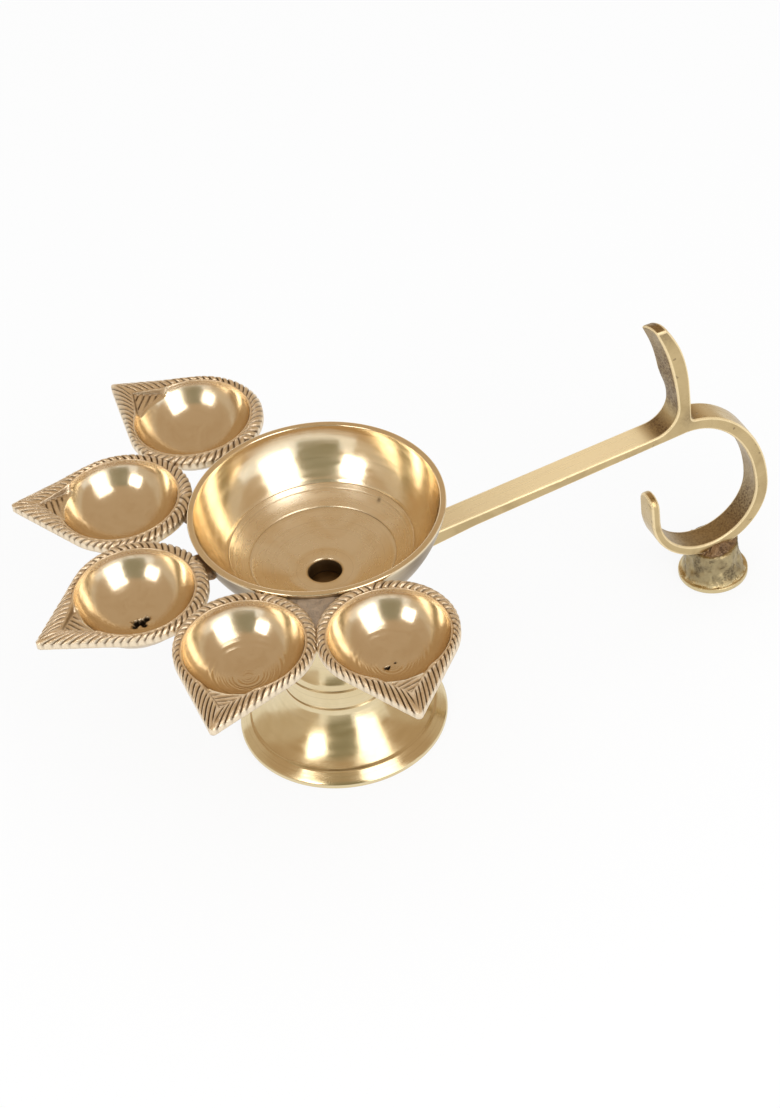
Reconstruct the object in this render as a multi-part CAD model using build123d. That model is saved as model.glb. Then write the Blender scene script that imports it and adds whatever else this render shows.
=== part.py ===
"""Brass aarti lamp: a footed bowl, five leaf-shaped wick cups and a handle with a finger hook.

Millimetres, +Z up. The origin is the centre of the pedestal's foot on the table, the handle runs
along +X and the leaf cups fan out round the opposite side.
"""
import os
from math import acos, asin, cos, degrees, radians, sin, sqrt, tan

from build123d import *

# Pedestal: a hollow bell casting, turned outside
PEDESTAL_HEIGHT = 55.0
FOOT_RADIUS = 33.4
FOOT_EDGE = 1.6
FLANGE_RADIUS = 29.6
FLANGE_HEIGHT = 4.7
BELL_RADIUS = 23.4
BELL_HEIGHT = 10.8
NECK_FOOT_RADIUS = 18.3
NECK_FOOT_HEIGHT = 18.4
NECK_HEAD_RADIUS = 16.9
NECK_HEAD_HEIGHT = 28.6
WAIST_RADIUS = 11.8
WAIST_HEIGHT = 45.0
SEAT_RADIUS = 13.5
PEDESTAL_WALL = 3.0
GROOVE_HEIGHTS = (20.0, 26.6)
GROOVE_DEPTH = 0.6

# Bowl: a spherical dish with a boss under its floor
BOSS_HEIGHT = 3.0
BOWL_FLOOR = 4.0
BOWL_DEPTH = 28.0
BOWL_RADIUS = 40.0
BOWL_LIP = 2.0
LIP_ROUND = 0.6
FLOOR_FLAT_RADIUS = 10.6
BORE_LIP_ROUND = 0.8

# Screw that pulls the bowl down on the pedestal
SCREW_RADIUS = 5.0
SCREW_CLEARANCE = 0.2
SCREW_SHORT_OF_FLOOR = 4.0
SCREW_GRIP = 23.0
SCREW_HEAD_FLATS = 15.0
SCREW_HEAD_HEIGHT = 6.0
WASHER_RADIUS = 9.6
WASHER_THICK = 1.6
SPOT_FACE_MARGIN = 1.5

# Leaf cups, brazed on by eye: each one's bearing from the handle, its hollow's reach beyond the
# bowl's lip and its turn about its own hollow
CUP_PLACES = {
    "leaf_cup_1": (105.4, 22.3, 12.5),
    "leaf_cup_2": (145.4, 22.4, 5.5),
    "leaf_cup_3": (185.3, 23.0, 2.5),
    "leaf_cup_4": (225.4, 21.6, 5.6),
    "leaf_cup_5": (266.6, 20.8, -6.4),
}
CUP_DROP = 1.5
CUP_TILT = 1.6
CUP_HOLLOW_RADIUS = 18.5
CUP_HOLLOW_DEPTH = 13.5
CUP_WALL = 2.0
BORDER_WIDTH = 3.0
BORDER_THICK = 3.2
BORDER_ROUND = 0.9
LEAF_LENGTH = 34.8
LEAF_SHIFT = 1.2
LEAF_TIP_ROUND = 1.2
GUTTER_TO_TIP = 9.3
GUTTER_DEPTH = 0.6
GUTTER_SLOPE = 12.0
GUTTER_SPREAD = 26.0
LUG_WIDTH = 10.0
LUG_THICK = 2.4
LUG_DROP = 0.7

# Handle: a flat cast strip that splits into a thumb rest and a finger hook
STRIP_WIDTH = 9.0
STRIP_ROUND = 0.7
BAR_THICK = 4.3
BAR_SLOPE = 3.3
BAR_ABOVE_BOSS = 7.8
ROOT_IN_BOSS = 1.5
ROOT_THICK = 7.2
ROOT_PAST_LIP = 10.0
HOOK_REACH = 91.6
HOOK_BELOW_BAR = 31.3
HOOK_INNER_RADIUS = 17.4
HOOK_THICK = 3.8
HOOK_OFFSET = 0.9
HOOK_BACK = 6.6
CROWN_UNDER = 3.2
CROWN_THICK = 4.4
HOOK_TIP_RISE = 9.0
THUMB_BEFORE_HOOK = 9.3
THUMB_BEND = 9.0
THUMB_THICK = 4.6
THUMB_RISE = 40.0
THUMB_STRAIGHT = 7.0
THUMB_LEAN = 5.2
THUMB_TIP_THICK = 2.8
THUMB_TIP_WIDTH = 5.6
CROTCH_ROUND = 1.6

# Button foot under the hook
BUTTON_OFFSET = 2.9
BUTTON_RADIUS = 11.5
BUTTON_EDGE = 2.0
BUTTON_NECK_RADIUS = 8.7
BUTTON_NECK_TOP = 2.8

# Braze metal at the joints
CUP_BEAD_RADIUS = 4.4
CUP_BEAD_LENGTH = 9.0
WEB_CUPS = ("leaf_cup_4", "leaf_cup_5")
WEB_THICK = 2.4
WEB_REACH = 12.0
COLLAR_WIDTH = 1.6
COLLAR_THICK = 1.6
BUTTON_BEAD_HEIGHT = 2.4
BUTTON_BEAD_TOP = 4.7

BOSS_Z = PEDESTAL_HEIGHT + BOSS_HEIGHT
DISH_Z = BOSS_Z + BOWL_FLOOR
RIM_Z = DISH_Z + BOWL_DEPTH
CUP_RIM_Z = RIM_Z - CUP_DROP
BORE_RADIUS = SCREW_RADIUS + SCREW_CLEARANCE
SPOT_FACE_Z = PEDESTAL_HEIGHT - SCREW_GRIP
LEAF_RADIUS = CUP_HOLLOW_RADIUS + BORDER_WIDTH
BAR_Z = BOSS_Z + BAR_ABOVE_BOSS
ROOT_REACH = SEAT_RADIUS - ROOT_IN_BOSS
HOOK_CENTRE_X = BOWL_RADIUS + HOOK_REACH
HOOK_CENTRE_Z = BAR_Z - HOOK_BELOW_BAR
HOOK_OUTER_RADIUS = HOOK_INNER_RADIUS + HOOK_THICK
HOOK_BOTTOM = HOOK_CENTRE_Z - HOOK_OUTER_RADIUS
THUMB_FRONT = HOOK_CENTRE_X - THUMB_BEFORE_HOOK
BUTTON_X = HOOK_CENTRE_X + BUTTON_OFFSET


def turned(outline):
    """Solid of revolution about Z from a closed outline drawn as (radius, height)."""
    return revolve(Plane.XZ * make_face(outline), Axis.Z)


def round_cap(half_width, depth):
    """Spherical cap that hangs below the XY plane."""
    arc = TangentArc((0, -depth), (half_width, 0), tangent=(1, 0))
    return turned(arc + Polyline((half_width, 0), (0, 0), (0, -depth)))


def rod(radius, bottom, top):
    """Upright cylinder about Z between two heights."""
    return Pos(Z=bottom) * Cylinder(radius, top - bottom, align=(Align.CENTER, Align.CENTER, Align.MIN))


def make_bowl_outside(skin=0.0):
    """The bowl's outside as a filled solid, grown by a skin, which its neighbours are fitted to."""
    dish = Pos(Z=RIM_Z) * round_cap(BOWL_RADIUS + skin, BOWL_DEPTH + BOWL_FLOOR + skin)
    return dish + rod(SEAT_RADIUS + skin, PEDESTAL_HEIGHT, DISH_Z)


def make_bowl(outside):
    """Dish with a rounded lip, a flat middle to its floor and the screw's bore through it."""
    inner_radius = BOWL_RADIUS - BOWL_LIP
    sphere_radius = (inner_radius**2 + BOWL_DEPTH**2) / (2 * BOWL_DEPTH)
    floor_z = DISH_Z + sphere_radius - sqrt(sphere_radius**2 - FLOOR_FLAT_RADIUS**2)
    hollow = Pos(Z=RIM_Z) * round_cap(inner_radius, BOWL_DEPTH)
    bowl = outside - split(hollow, Plane.XY.offset(floor_z), keep=Keep.TOP)
    bowl -= rod(BORE_RADIUS, PEDESTAL_HEIGHT, RIM_Z)
    bore_lip = bowl.edges().filter_by(GeomType.CIRCLE).filter_by(
        lambda edge: edge.radius < FLOOR_FLAT_RADIUS and edge.center().Z > DISH_Z)
    bowl = fillet(bore_lip, BORE_LIP_ROUND)
    lip = bowl.faces().sort_by(Axis.Z)[-1]
    return fillet(lip.edges(), LIP_ROUND)


def neck_radius(height):
    """Radius of the pedestal's straight neck at a height."""
    share = (height - NECK_FOOT_HEIGHT) / (NECK_HEAD_HEIGHT - NECK_FOOT_HEIGHT)
    return NECK_FOOT_RADIUS + share * (NECK_HEAD_RADIUS - NECK_FOOT_RADIUS)


def make_pedestal():
    """Flared bell on a stepped foot, with two turned grooves and a hollow underside."""
    neck = Line((NECK_HEAD_RADIUS, NECK_HEAD_HEIGHT), (NECK_FOOT_RADIUS, NECK_FOOT_HEIGHT))
    flare = TangentArc(neck @ 1, (BELL_RADIUS, BELL_HEIGHT), tangent=neck % 1)
    skirt = TangentArc(flare @ 1, (FLANGE_RADIUS, FLANGE_HEIGHT), tangent=flare % 1)
    foot = Polyline(skirt @ 1, (FOOT_RADIUS, FOOT_EDGE), (FOOT_RADIUS, 0), (0, 0), (0, PEDESTAL_HEIGHT),
                    (SEAT_RADIUS, PEDESTAL_HEIGHT))
    waist = (WAIST_RADIUS, WAIST_HEIGHT)
    head = TangentArc(waist, foot @ 1, tangent=(0, 1)) + TangentArc(waist, neck @ 0, tangent=(0, -1))
    pedestal = turned(neck + flare + skirt + foot + head)

    inside = Polyline(
        (0, 0),
        (FOOT_RADIUS - PEDESTAL_WALL, 0),
        (FLANGE_RADIUS - PEDESTAL_WALL, FLANGE_HEIGHT),
        (BELL_RADIUS - PEDESTAL_WALL, BELL_HEIGHT),
        (NECK_FOOT_RADIUS - PEDESTAL_WALL, NECK_FOOT_HEIGHT),
        (NECK_HEAD_RADIUS - PEDESTAL_WALL, NECK_HEAD_HEIGHT),
        (WASHER_RADIUS + SPOT_FACE_MARGIN, SPOT_FACE_Z),
        (0, SPOT_FACE_Z),
        close=True)
    pedestal -= turned(inside)
    pedestal -= rod(BORE_RADIUS, 0, PEDESTAL_HEIGHT)
    for height in GROOVE_HEIGHTS:
        pedestal -= Pos(Z=height) * Torus(neck_radius(height), GROOVE_DEPTH)
    return pedestal


def make_tie_screw():
    """Hexagon-headed screw that ends below the bowl's floor."""
    bearing_z = SPOT_FACE_Z - WASHER_THICK
    head = extrude(RegularPolygon(SCREW_HEAD_FLATS / 2, 6, major_radius=False), SCREW_HEAD_HEIGHT)
    shank = rod(SCREW_RADIUS, bearing_z - SCREW_HEAD_HEIGHT, DISH_Z - SCREW_SHORT_OF_FLOOR)
    return Pos(Z=bearing_z - SCREW_HEAD_HEIGHT) * head + shank


def make_tie_washer():
    """Flat washer between the screw's head and the pedestal's spot face."""
    return rod(WASHER_RADIUS, SPOT_FACE_Z - WASHER_THICK, SPOT_FACE_Z) - rod(BORE_RADIUS, 0, SPOT_FACE_Z)


def leaf_outline():
    """Leaf shape in XY: a round back and straight sides to a point on +X, with the hollow at the origin."""
    length = LEAF_LENGTH + LEAF_SHIFT
    lean = asin(LEAF_RADIUS / length)
    side_x = LEAF_RADIUS * sin(lean)
    side_y = LEAF_RADIUS * cos(lean)
    back = ThreePointArc((side_x, side_y), (-LEAF_RADIUS, 0), (side_x, -side_y))
    sides = Polyline((side_x, -side_y), (length, 0), (side_x, side_y))
    leaf = make_face(back + sides)
    return Pos(X=-LEAF_SHIFT) * fillet(leaf.vertices().sort_by(Axis.X)[-1], LEAF_TIP_ROUND)


def make_leaf_blank():
    """One leaf casting before its hollow is cut, with its border's top on the XY plane."""
    border = extrude(leaf_outline(), -BORDER_THICK)
    border = fillet(border.faces().sort_by(Axis.Z)[-1].edges(), BORDER_ROUND)
    return border + round_cap(CUP_HOLLOW_RADIUS + CUP_WALL, CUP_HOLLOW_DEPTH + CUP_WALL)


def make_leaf_hollow():
    """What is cut from a leaf casting: the round hollow, and the gutter that slopes into it from the tip."""
    apex = LEAF_LENGTH - GUTTER_TO_TIP
    mouth_x = CUP_HOLLOW_RADIUS * cos(radians(GUTTER_SPREAD))
    mouth_y = CUP_HOLLOW_RADIUS * sin(radians(GUTTER_SPREAD))
    kite = make_face(Polyline((apex, 0), (mouth_x, mouth_y), (0, 0), (mouth_x, -mouth_y), close=True))
    floor = Plane((apex, 0, -GUTTER_DEPTH)).rotated((0, -GUTTER_SLOPE, 0))
    gutter = split(extrude(kite, 2 * BORDER_THICK, both=True), floor, keep=Keep.TOP)
    return round_cap(CUP_HOLLOW_RADIUS, CUP_HOLLOW_DEPTH) + gutter


def make_lug(angle, reach):
    """Tab behind a cup that reaches the bowl's wall."""
    lug = Box(reach + BOWL_LIP, LUG_WIDTH, LUG_THICK, align=(Align.MAX, Align.CENTER, Align.MAX))
    return Rot(Z=angle) * Pos(BOWL_RADIUS + reach, 0, CUP_RIM_Z - LUG_DROP) * lug


def make_cups(bowl_outside):
    """The five cups round the bowl, each as a blank and as cut.

    Neighbours are flat where they meet, and each lug is hollowed to the bowl's wall.
    """
    blank = make_leaf_blank()
    hollow = make_leaf_hollow()
    names = list(CUP_PLACES)
    blanks = {}
    cups = {}
    for number, (name, (angle, reach, turn)) in enumerate(CUP_PLACES.items()):
        place = Rot(Z=angle) * Pos(BOWL_RADIUS + reach, 0, CUP_RIM_Z) * Rot(Z=turn) * Rot(Y=CUP_TILT)
        cup = place * blank + make_lug(angle, reach)
        for neighbour in (number - 1, number + 1):
            if 0 <= neighbour < len(names):
                beyond = CUP_PLACES[names[neighbour]][0]
                seam = radians((angle + beyond) / 2)
                side = 1 if beyond < angle else -1
                meeting = Plane(origin=(0, 0, 0), z_dir=(-side * sin(seam), side * cos(seam), 0))
                cup = split(cup, meeting, keep=Keep.TOP)
        blanks[name] = cup
        cups[name] = cup - place * hollow - bowl_outside
    return blanks, cups


def make_cup_braze(bowl_outside, blanks):
    """Beads under the cups' lugs, and the web that fills one gap between two cups and the bowl."""
    lug_bottom = CUP_RIM_Z - LUG_DROP - LUG_THICK
    bead = Pos(BOWL_RADIUS, 0, lug_bottom) * Rot(X=90) * Cylinder(CUP_BEAD_RADIUS, CUP_BEAD_LENGTH)
    bead = split(bead, Plane.XY.offset(lug_bottom), keep=Keep.BOTTOM)
    pieces = []
    for name, blank in blanks.items():
        pieces += (Rot(Z=CUP_PLACES[name][0]) * bead - bowl_outside - blank).solids()

    seam = sum(CUP_PLACES[name][0] for name in WEB_CUPS) / len(WEB_CUPS)
    web = Box(WEB_REACH, 2 * WEB_REACH, WEB_THICK, align=(Align.MIN, Align.CENTER, Align.MAX))
    web = Rot(Z=seam) * Pos(BOWL_RADIUS - BOWL_LIP, 0, CUP_RIM_Z - LUG_DROP) * web
    web -= [bowl_outside] + [blanks[name] for name in WEB_CUPS]
    middle = Rot(Z=seam) * Pos(BOWL_RADIUS + BOWL_LIP, 0, CUP_RIM_Z)
    pieces.append(web.solids().sort_by_distance(middle.position)[0])
    return Compound(pieces)


def bar_top(x):
    """Height of the bar's top face at a place along the handle."""
    return BAR_Z + (x - BOWL_RADIUS) * tan(radians(BAR_SLOPE))


def make_handle(bowl_outside):
    """Strip bent and split in the XZ plane, narrowed towards the tip of the thumb rest."""
    slope = radians(BAR_SLOPE)
    root_x = BOWL_RADIUS + ROOT_PAST_LIP
    bend_x = THUMB_FRONT - THUMB_BEND
    bend_z = bar_top(bend_x) + THUMB_BEND / cos(slope)
    bend_start = (bend_x + THUMB_BEND * sin(slope), bend_z - THUMB_BEND * cos(slope))
    front_tip = (THUMB_FRONT - THUMB_LEAN, bar_top(THUMB_FRONT) + THUMB_RISE)
    back_tip = (front_tip[0] + THUMB_TIP_THICK, front_tip[1])
    back_x = THUMB_FRONT + THUMB_THICK

    outer_x = HOOK_CENTRE_X + HOOK_OFFSET
    crown_x = HOOK_CENTRE_X - HOOK_BACK
    crown_z = bar_top(crown_x) - CROWN_UNDER
    inner_wide = HOOK_INNER_RADIUS + HOOK_BACK
    outer_wide = outer_x + HOOK_OUTER_RADIUS - crown_x
    inner_high = crown_z - HOOK_CENTRE_Z
    outer_high = inner_high + CROWN_THICK
    crotch_share = (back_x + CROTCH_ROUND - crown_x) / outer_wide
    crotch_z = HOOK_CENTRE_Z + outer_high * sqrt(1 - crotch_share**2)
    tip_z = HOOK_CENTRE_Z + HOOK_TIP_RISE
    inner_tip_x = HOOK_CENTRE_X - HOOK_INNER_RADIUS
    outer_tip_x = outer_x - HOOK_OUTER_RADIUS

    root = Polyline(
        (crown_x, crown_z),
        (root_x, bar_top(root_x) - BAR_THICK),
        (ROOT_REACH, bar_top(ROOT_REACH) - ROOT_THICK),
        (ROOT_REACH, bar_top(ROOT_REACH)),
        bend_start)
    bend = JernArc(bend_start, (cos(slope), sin(slope)), THUMB_BEND, 90 - BAR_SLOPE)
    front = TangentArc(bend @ 1, front_tip, tangent=(0, 1))
    rear = TangentArc((back_x, bend_z + THUMB_STRAIGHT), back_tip, tangent=(0, 1))
    crotch_side = Line(rear @ 0, (back_x, crotch_z + CROTCH_ROUND))
    crotch_bend = TangentArc(crotch_side @ 1, (back_x + CROTCH_ROUND, crotch_z), tangent=(0, -1))
    outer_top = EllipticalCenterArc((crown_x, HOOK_CENTRE_Z), outer_wide, outer_high, 0,
                                    arc_size=degrees(acos(crotch_share)))
    outer_low = CenterArc((outer_x, HOOK_CENTRE_Z), HOOK_OUTER_RADIUS, 180, 180)
    inner_low = CenterArc((HOOK_CENTRE_X, HOOK_CENTRE_Z), HOOK_INNER_RADIUS, 180, 180)
    inner_top = EllipticalCenterArc((crown_x, HOOK_CENTRE_Z), inner_wide, inner_high, 0, arc_size=90)
    hook_tip = Polyline(outer_low @ 0, (outer_tip_x, tip_z), (inner_tip_x, tip_z), inner_low @ 0)
    outline = make_face([
        root, bend, front, Line(front_tip, back_tip), rear, crotch_side, crotch_bend,
        outer_top, outer_low, hook_tip, inner_low, inner_top])
    strip = extrude(Plane.XZ * outline, STRIP_WIDTH / 2, both=True)
    for side in (0, -1):
        strip = fillet(strip.faces().filter_by(Axis.Y).sort_by(Axis.Y)[side].edges(), STRIP_ROUND)

    half = STRIP_WIDTH / 2
    end_round = Pos(inner_tip_x, 0, tip_z - half) * (
        Box(STRIP_WIDTH, 2 * STRIP_WIDTH, STRIP_WIDTH, align=(Align.CENTER, Align.CENTER, Align.MIN))
        - Rot(Y=90) * Cylinder(half, STRIP_WIDTH))
    strip -= end_round
    half_tip = THUMB_TIP_WIDTH / 2
    top_z = front_tip[1]
    end_view = Polyline(
        (-half, 0), (half, 0), (half, bend_z),
        (half_tip, top_z), (-half_tip, top_z), (-half, bend_z), close=True)
    strip &= extrude(Plane.YZ * make_face(end_view), 2 * (outer_x + HOOK_OUTER_RADIUS))
    return strip - bowl_outside


def make_handle_braze(bowl_outside, handle):
    """Collar of braze metal round the strip where it meets the bowl."""
    section = Rectangle(STRIP_WIDTH + 2 * COLLAR_WIDTH, ROOT_THICK + 2 * COLLAR_WIDTH)
    section = Plane.YZ * Pos(Y=bar_top(ROOT_REACH) - ROOT_THICK / 2) * section
    collar = extrude(section, BOWL_RADIUS) & make_bowl_outside(COLLAR_THICK)
    return collar - bowl_outside - handle


def make_hook_foot():
    """Turned button with a flared edge and a flat top that the hook sits on."""
    neck = (BUTTON_NECK_RADIUS, HOOK_BOTTOM - BUTTON_NECK_TOP)
    flare = TangentArc(neck, (BUTTON_RADIUS, BUTTON_EDGE), tangent=(0, -1))
    rest = Polyline(
        flare @ 1, (BUTTON_RADIUS, 0), (0, 0), (0, HOOK_BOTTOM), (BUTTON_NECK_RADIUS, HOOK_BOTTOM), neck)
    return Pos(X=BUTTON_X) * turned(flare + rest)


def make_foot_braze(handle):
    """Braze metal that fills the wedge between the button's flat top and the round hook."""
    bead = Cone(BUTTON_NECK_RADIUS, BUTTON_BEAD_TOP, BUTTON_BEAD_HEIGHT)
    return Pos(BUTTON_X, 0, HOOK_BOTTOM + BUTTON_BEAD_HEIGHT / 2) * bead - handle


def main():
    """Build every piece and write one STEP file for each."""
    outside = make_bowl_outside()
    blanks, cups = make_cups(outside)
    handle = make_handle(outside)
    nodes = {
        "bowl": make_bowl(outside),
        "pedestal": make_pedestal(),
        "tie_screw": make_tie_screw(),
        "tie_washer": make_tie_washer(),
        "cup_braze": make_cup_braze(outside, blanks),
        "handle": handle,
        "handle_braze": make_handle_braze(outside, handle),
        "hook_foot": make_hook_foot(),
        "foot_braze": make_foot_braze(handle),
        **cups,
    }

    os.makedirs("parts", exist_ok=True)
    for name, solid in nodes.items():
        export_step(solid, f"parts/{name}.step")


if __name__ == "__main__":
    main()
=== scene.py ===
"""Brass aarti lamp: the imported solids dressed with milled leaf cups, turned bowl and pedestal, and cast handle.

Sizes in the classes are millimetres in the lamp's own frame: the origin is the centre of the pedestal's foot on
the table, +X runs along the handle, +Z is up. A piece is scaled to metres when it is finished.
"""

import logging
from dataclasses import dataclass, field
from enum import Enum
from math import acos, asin, atan2, cos, degrees, exp, floor, hypot, pi, radians, sin, sqrt, tan, tau

import bmesh
import bpy
from bmesh.types import BMesh, BMFace, BMVert
from bpy.types import ID, Material, Mesh, Node, NodeSocket, NodeTree, Object, World
from mathutils import Matrix, Vector, noise


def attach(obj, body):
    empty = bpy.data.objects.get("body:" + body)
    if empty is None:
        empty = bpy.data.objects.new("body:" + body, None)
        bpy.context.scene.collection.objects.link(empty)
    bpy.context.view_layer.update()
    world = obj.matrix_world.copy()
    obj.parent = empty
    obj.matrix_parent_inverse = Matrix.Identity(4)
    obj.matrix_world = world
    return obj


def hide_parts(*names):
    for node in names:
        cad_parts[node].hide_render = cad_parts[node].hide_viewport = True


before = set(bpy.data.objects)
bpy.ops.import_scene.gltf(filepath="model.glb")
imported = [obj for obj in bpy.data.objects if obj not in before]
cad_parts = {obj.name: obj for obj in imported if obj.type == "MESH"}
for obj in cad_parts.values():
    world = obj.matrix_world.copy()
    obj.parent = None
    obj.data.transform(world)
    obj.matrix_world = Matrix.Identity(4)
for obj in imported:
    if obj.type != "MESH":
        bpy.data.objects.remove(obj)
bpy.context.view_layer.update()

LOG = logging.getLogger("aarti_lamp")
MM = 0.001
BODY = "root"
Colour = tuple[float, float, float]


class Slot(Enum):
    """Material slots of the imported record."""

    POLISHED = "polished_brass"
    LEAF = "leaf_brass"
    SATIN = "satin_brass"
    BRAZE = "braze_metal"
    PLAIN = "plain_brass"


class Mark(Enum):
    """Float attributes that a mesh hands to its finish."""

    CREVICE = "crevice"
    BORDER = "border"
    RADIUS = "radius"
    WORN = "worn"
    GRIME_AND_SHADE = "grime_and_shade"


def ease(low: float, high: float, value: float) -> float:
    """Smooth step from 0 at low to 1 at high.

    Args:
        low: Value where the step starts.
        high: Value where it ends.
        value: Value to place on the step.

    Returns:
        The step's height.
    """
    share = min(1.0, max(0.0, (value - low) / (high - low)))
    return share * share * (3.0 - 2.0 * share)


def mix(low: float, high: float, share: float) -> float:
    """Value at a share of the way from low to high."""
    return low + (high - low) * share


def ridge(value: float, centre: float, width: float) -> float:
    """Bell-shaped bump of height 1 and the given half width about a centre."""
    return exp(-(((value - centre) / width) ** 2))


def ball_radius(half_width: float, depth: float) -> float:
    """Radius of the ball that a dish of this half width and depth is part of."""
    return (half_width**2 + depth**2) / (2 * depth)


def mesh_data(mesh: BMesh, name: str) -> Mesh:
    """Turns a mesh under work into mesh data, and frees it."""
    data = bpy.data.meshes.new(name)
    mesh.to_mesh(data)
    mesh.free()
    return data


def put_in_scene(name: str, data: ID) -> Object:
    """Makes an object of its data and puts it in the scene."""
    made = bpy.data.objects.new(name, data)
    bpy.context.scene.collection.objects.link(made)
    return made


def empty_tree(owner: Material | World) -> NodeTree:
    """Switches an owner's nodes on and clears them."""
    owner.use_nodes = True
    owner.node_tree.nodes.clear()
    return owner.node_tree


class Pen:
    """Draws a chain of edges in the XZ plane of a mesh, in millimetres."""

    def __init__(self, mesh: BMesh, x: float, z: float) -> None:
        """Puts the pen down.

        Args:
            mesh: Mesh to draw in.
            x: Start along X.
            z: Start along Z.
        """
        self.mesh = mesh
        self.tip: BMVert = bmesh.ops.create_vert(mesh, co=(x, 0.0, z))["vert"][0]
        self.heading = Vector((1.0, 0.0))

    def line(self, x: float, z: float, parts: int = 1) -> "Pen":
        """Draws a straight line.

        Args:
            x: End along X.
            z: End along Z.
            parts: Edges that the line is divided into.

        Returns:
            The pen.
        """
        start = self.tip.co.copy()
        way = Vector((x, 0.0, z)) - start
        for part in range(parts):
            self.tip = bmesh.ops.extrude_vert_indiv(self.mesh, verts=[self.tip])["verts"][0]
            self.tip.co = start + way * ((part + 1) / parts)
        self.heading = Vector((way.x, way.z)).normalized()
        return self

    def arc(self, x: float, z: float, turn: float, parts: int) -> "Pen":
        """Turns about a centre.

        Args:
            x: Centre along X.
            z: Centre along Z.
            turn: Angle in degrees, positive from X towards Z.
            parts: Edges along the arc.

        Returns:
            The pen.
        """
        made = bmesh.ops.spin(
            self.mesh, geom=[self.tip], cent=(x, 0.0, z), axis=(0.0, 1.0, 0.0), angle=-radians(turn), steps=parts)
        self.tip = next(part for part in made["geom_last"] if isinstance(part, BMVert))
        spoke = Vector((self.tip.co.x - x, self.tip.co.z - z)).normalized()
        self.heading = Vector((-spoke.y, spoke.x)) * (1.0 if turn > 0 else -1.0)
        return self

    def bend(self, x: float, z: float, parts: int, arrive: tuple[float, float] | None = None) -> "Pen":
        """Draws the arc that leaves along the present heading, or arrives along a given one.

        Args:
            x: End along X.
            z: End along Z.
            parts: Edges along the arc.
            arrive: Heading at the end, which then sets the arc in place of the present heading.

        Returns:
            The pen.
        """
        start = Vector((self.tip.co.x, self.tip.co.z))
        chord = Vector((x, z)) - start
        heading = self.heading
        if arrive is not None:
            end = Vector(arrive).normalized()
            heading = 2.0 * chord.dot(end) / chord.length_squared * chord - end
        side = Vector((-heading.y, heading.x))
        centre = start + side * (chord.length_squared / (2.0 * chord.dot(side)))
        return self.arc(centre.x, centre.y, degrees(2.0 * atan2(chord.dot(side), chord.dot(heading))), parts)

    def through(self, middle: tuple[float, float], end: tuple[float, float], parts: int) -> "Pen":
        """Draws the arc that passes through a point.

        Args:
            middle: Point on the arc.
            end: End of the arc.
            parts: Edges along the arc.

        Returns:
            The pen.
        """
        first = Vector(middle) - Vector((self.tip.co.x, self.tip.co.z))
        chord = Vector(end) - Vector((self.tip.co.x, self.tip.co.z))
        area = 2.0 * (first.x * chord.y - first.y * chord.x)
        centre = Vector((chord.y * first.length_squared - first.y * chord.length_squared,
                         first.x * chord.length_squared - chord.x * first.length_squared)) / area
        self.heading = Vector((-centre.y, centre.x)).normalized()
        if self.heading.dot(first) < 0.0:
            self.heading.negate()
        return self.bend(*end, parts)

    def ellipse(self, x: float, z: float, wide: float, high: float, turn: float, parts: int) -> "Pen":
        """Follows an upright ellipse that the pen stands on.

        Args:
            x: Centre along X.
            z: Centre along Z.
            wide: Half axis along X.
            high: Half axis along Z.
            turn: Angle on the ellipse's circle in degrees, positive from X towards Z.
            parts: Edges along the curve.

        Returns:
            The pen.
        """
        about = Matrix.Translation((-x, 0.0, -z))
        before = set(self.mesh.verts) - {self.tip}
        bmesh.ops.scale(self.mesh, vec=(1.0, 1.0, wide / high), space=about, verts=[self.tip])
        self.arc(x, z, turn, parts)
        drawn = [vert for vert in self.mesh.verts if vert not in before]
        bmesh.ops.scale(self.mesh, vec=(1.0, 1.0, high / wide), space=about, verts=drawn)
        return self

    def scribe(self, depth: float, width: float) -> "Pen":
        """Cuts a scribed line: a narrow V to the right of the present heading.

        Args:
            depth: Depth of the V.
            width: Width of the V along the heading.

        Returns:
            The pen.
        """
        ahead = self.heading.copy()
        here = Vector((self.tip.co.x, self.tip.co.z))
        bottom = here + ahead * width / 2 + Vector((ahead.y, -ahead.x)) * depth
        far = here + ahead * width
        self.line(bottom.x, bottom.y).line(far.x, far.y)
        self.heading = ahead
        return self


def lathe(mesh: BMesh, segments: int) -> None:
    """Spins a drawn outline about Z into a closed shell.

    Args:
        mesh: Mesh that holds the outline.
        segments: Steps of the full turn.
    """
    bmesh.ops.spin(mesh, geom=mesh.verts[:] + mesh.edges[:], cent=(0.0, 0.0, 0.0), axis=(0.0, 0.0, 1.0),
                   angle=tau, steps=segments, use_merge=True)
    bmesh.ops.remove_doubles(mesh, verts=mesh.verts[:], dist=1e-4)
    bmesh.ops.recalc_face_normals(mesh, faces=mesh.faces[:])


def roughen(verts: list[BMVert], depth: float, grain: float, seed: float = 0.0) -> None:
    """Pushes vertices in and out along their normals by layered noise.

    Args:
        verts: Vertices to move.
        depth: Largest move in millimetres.
        grain: Size of the largest lumps in millimetres.
        seed: Shift of the noise.
    """
    shift = Vector((seed, 1.7 * seed, -seed))
    for vert in verts:
        lump = noise.fractal(vert.co / grain + shift, 0.9, 2.1, 4)
        vert.co += vert.normal * (depth * max(-1.0, min(1.0, lump)))


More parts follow.
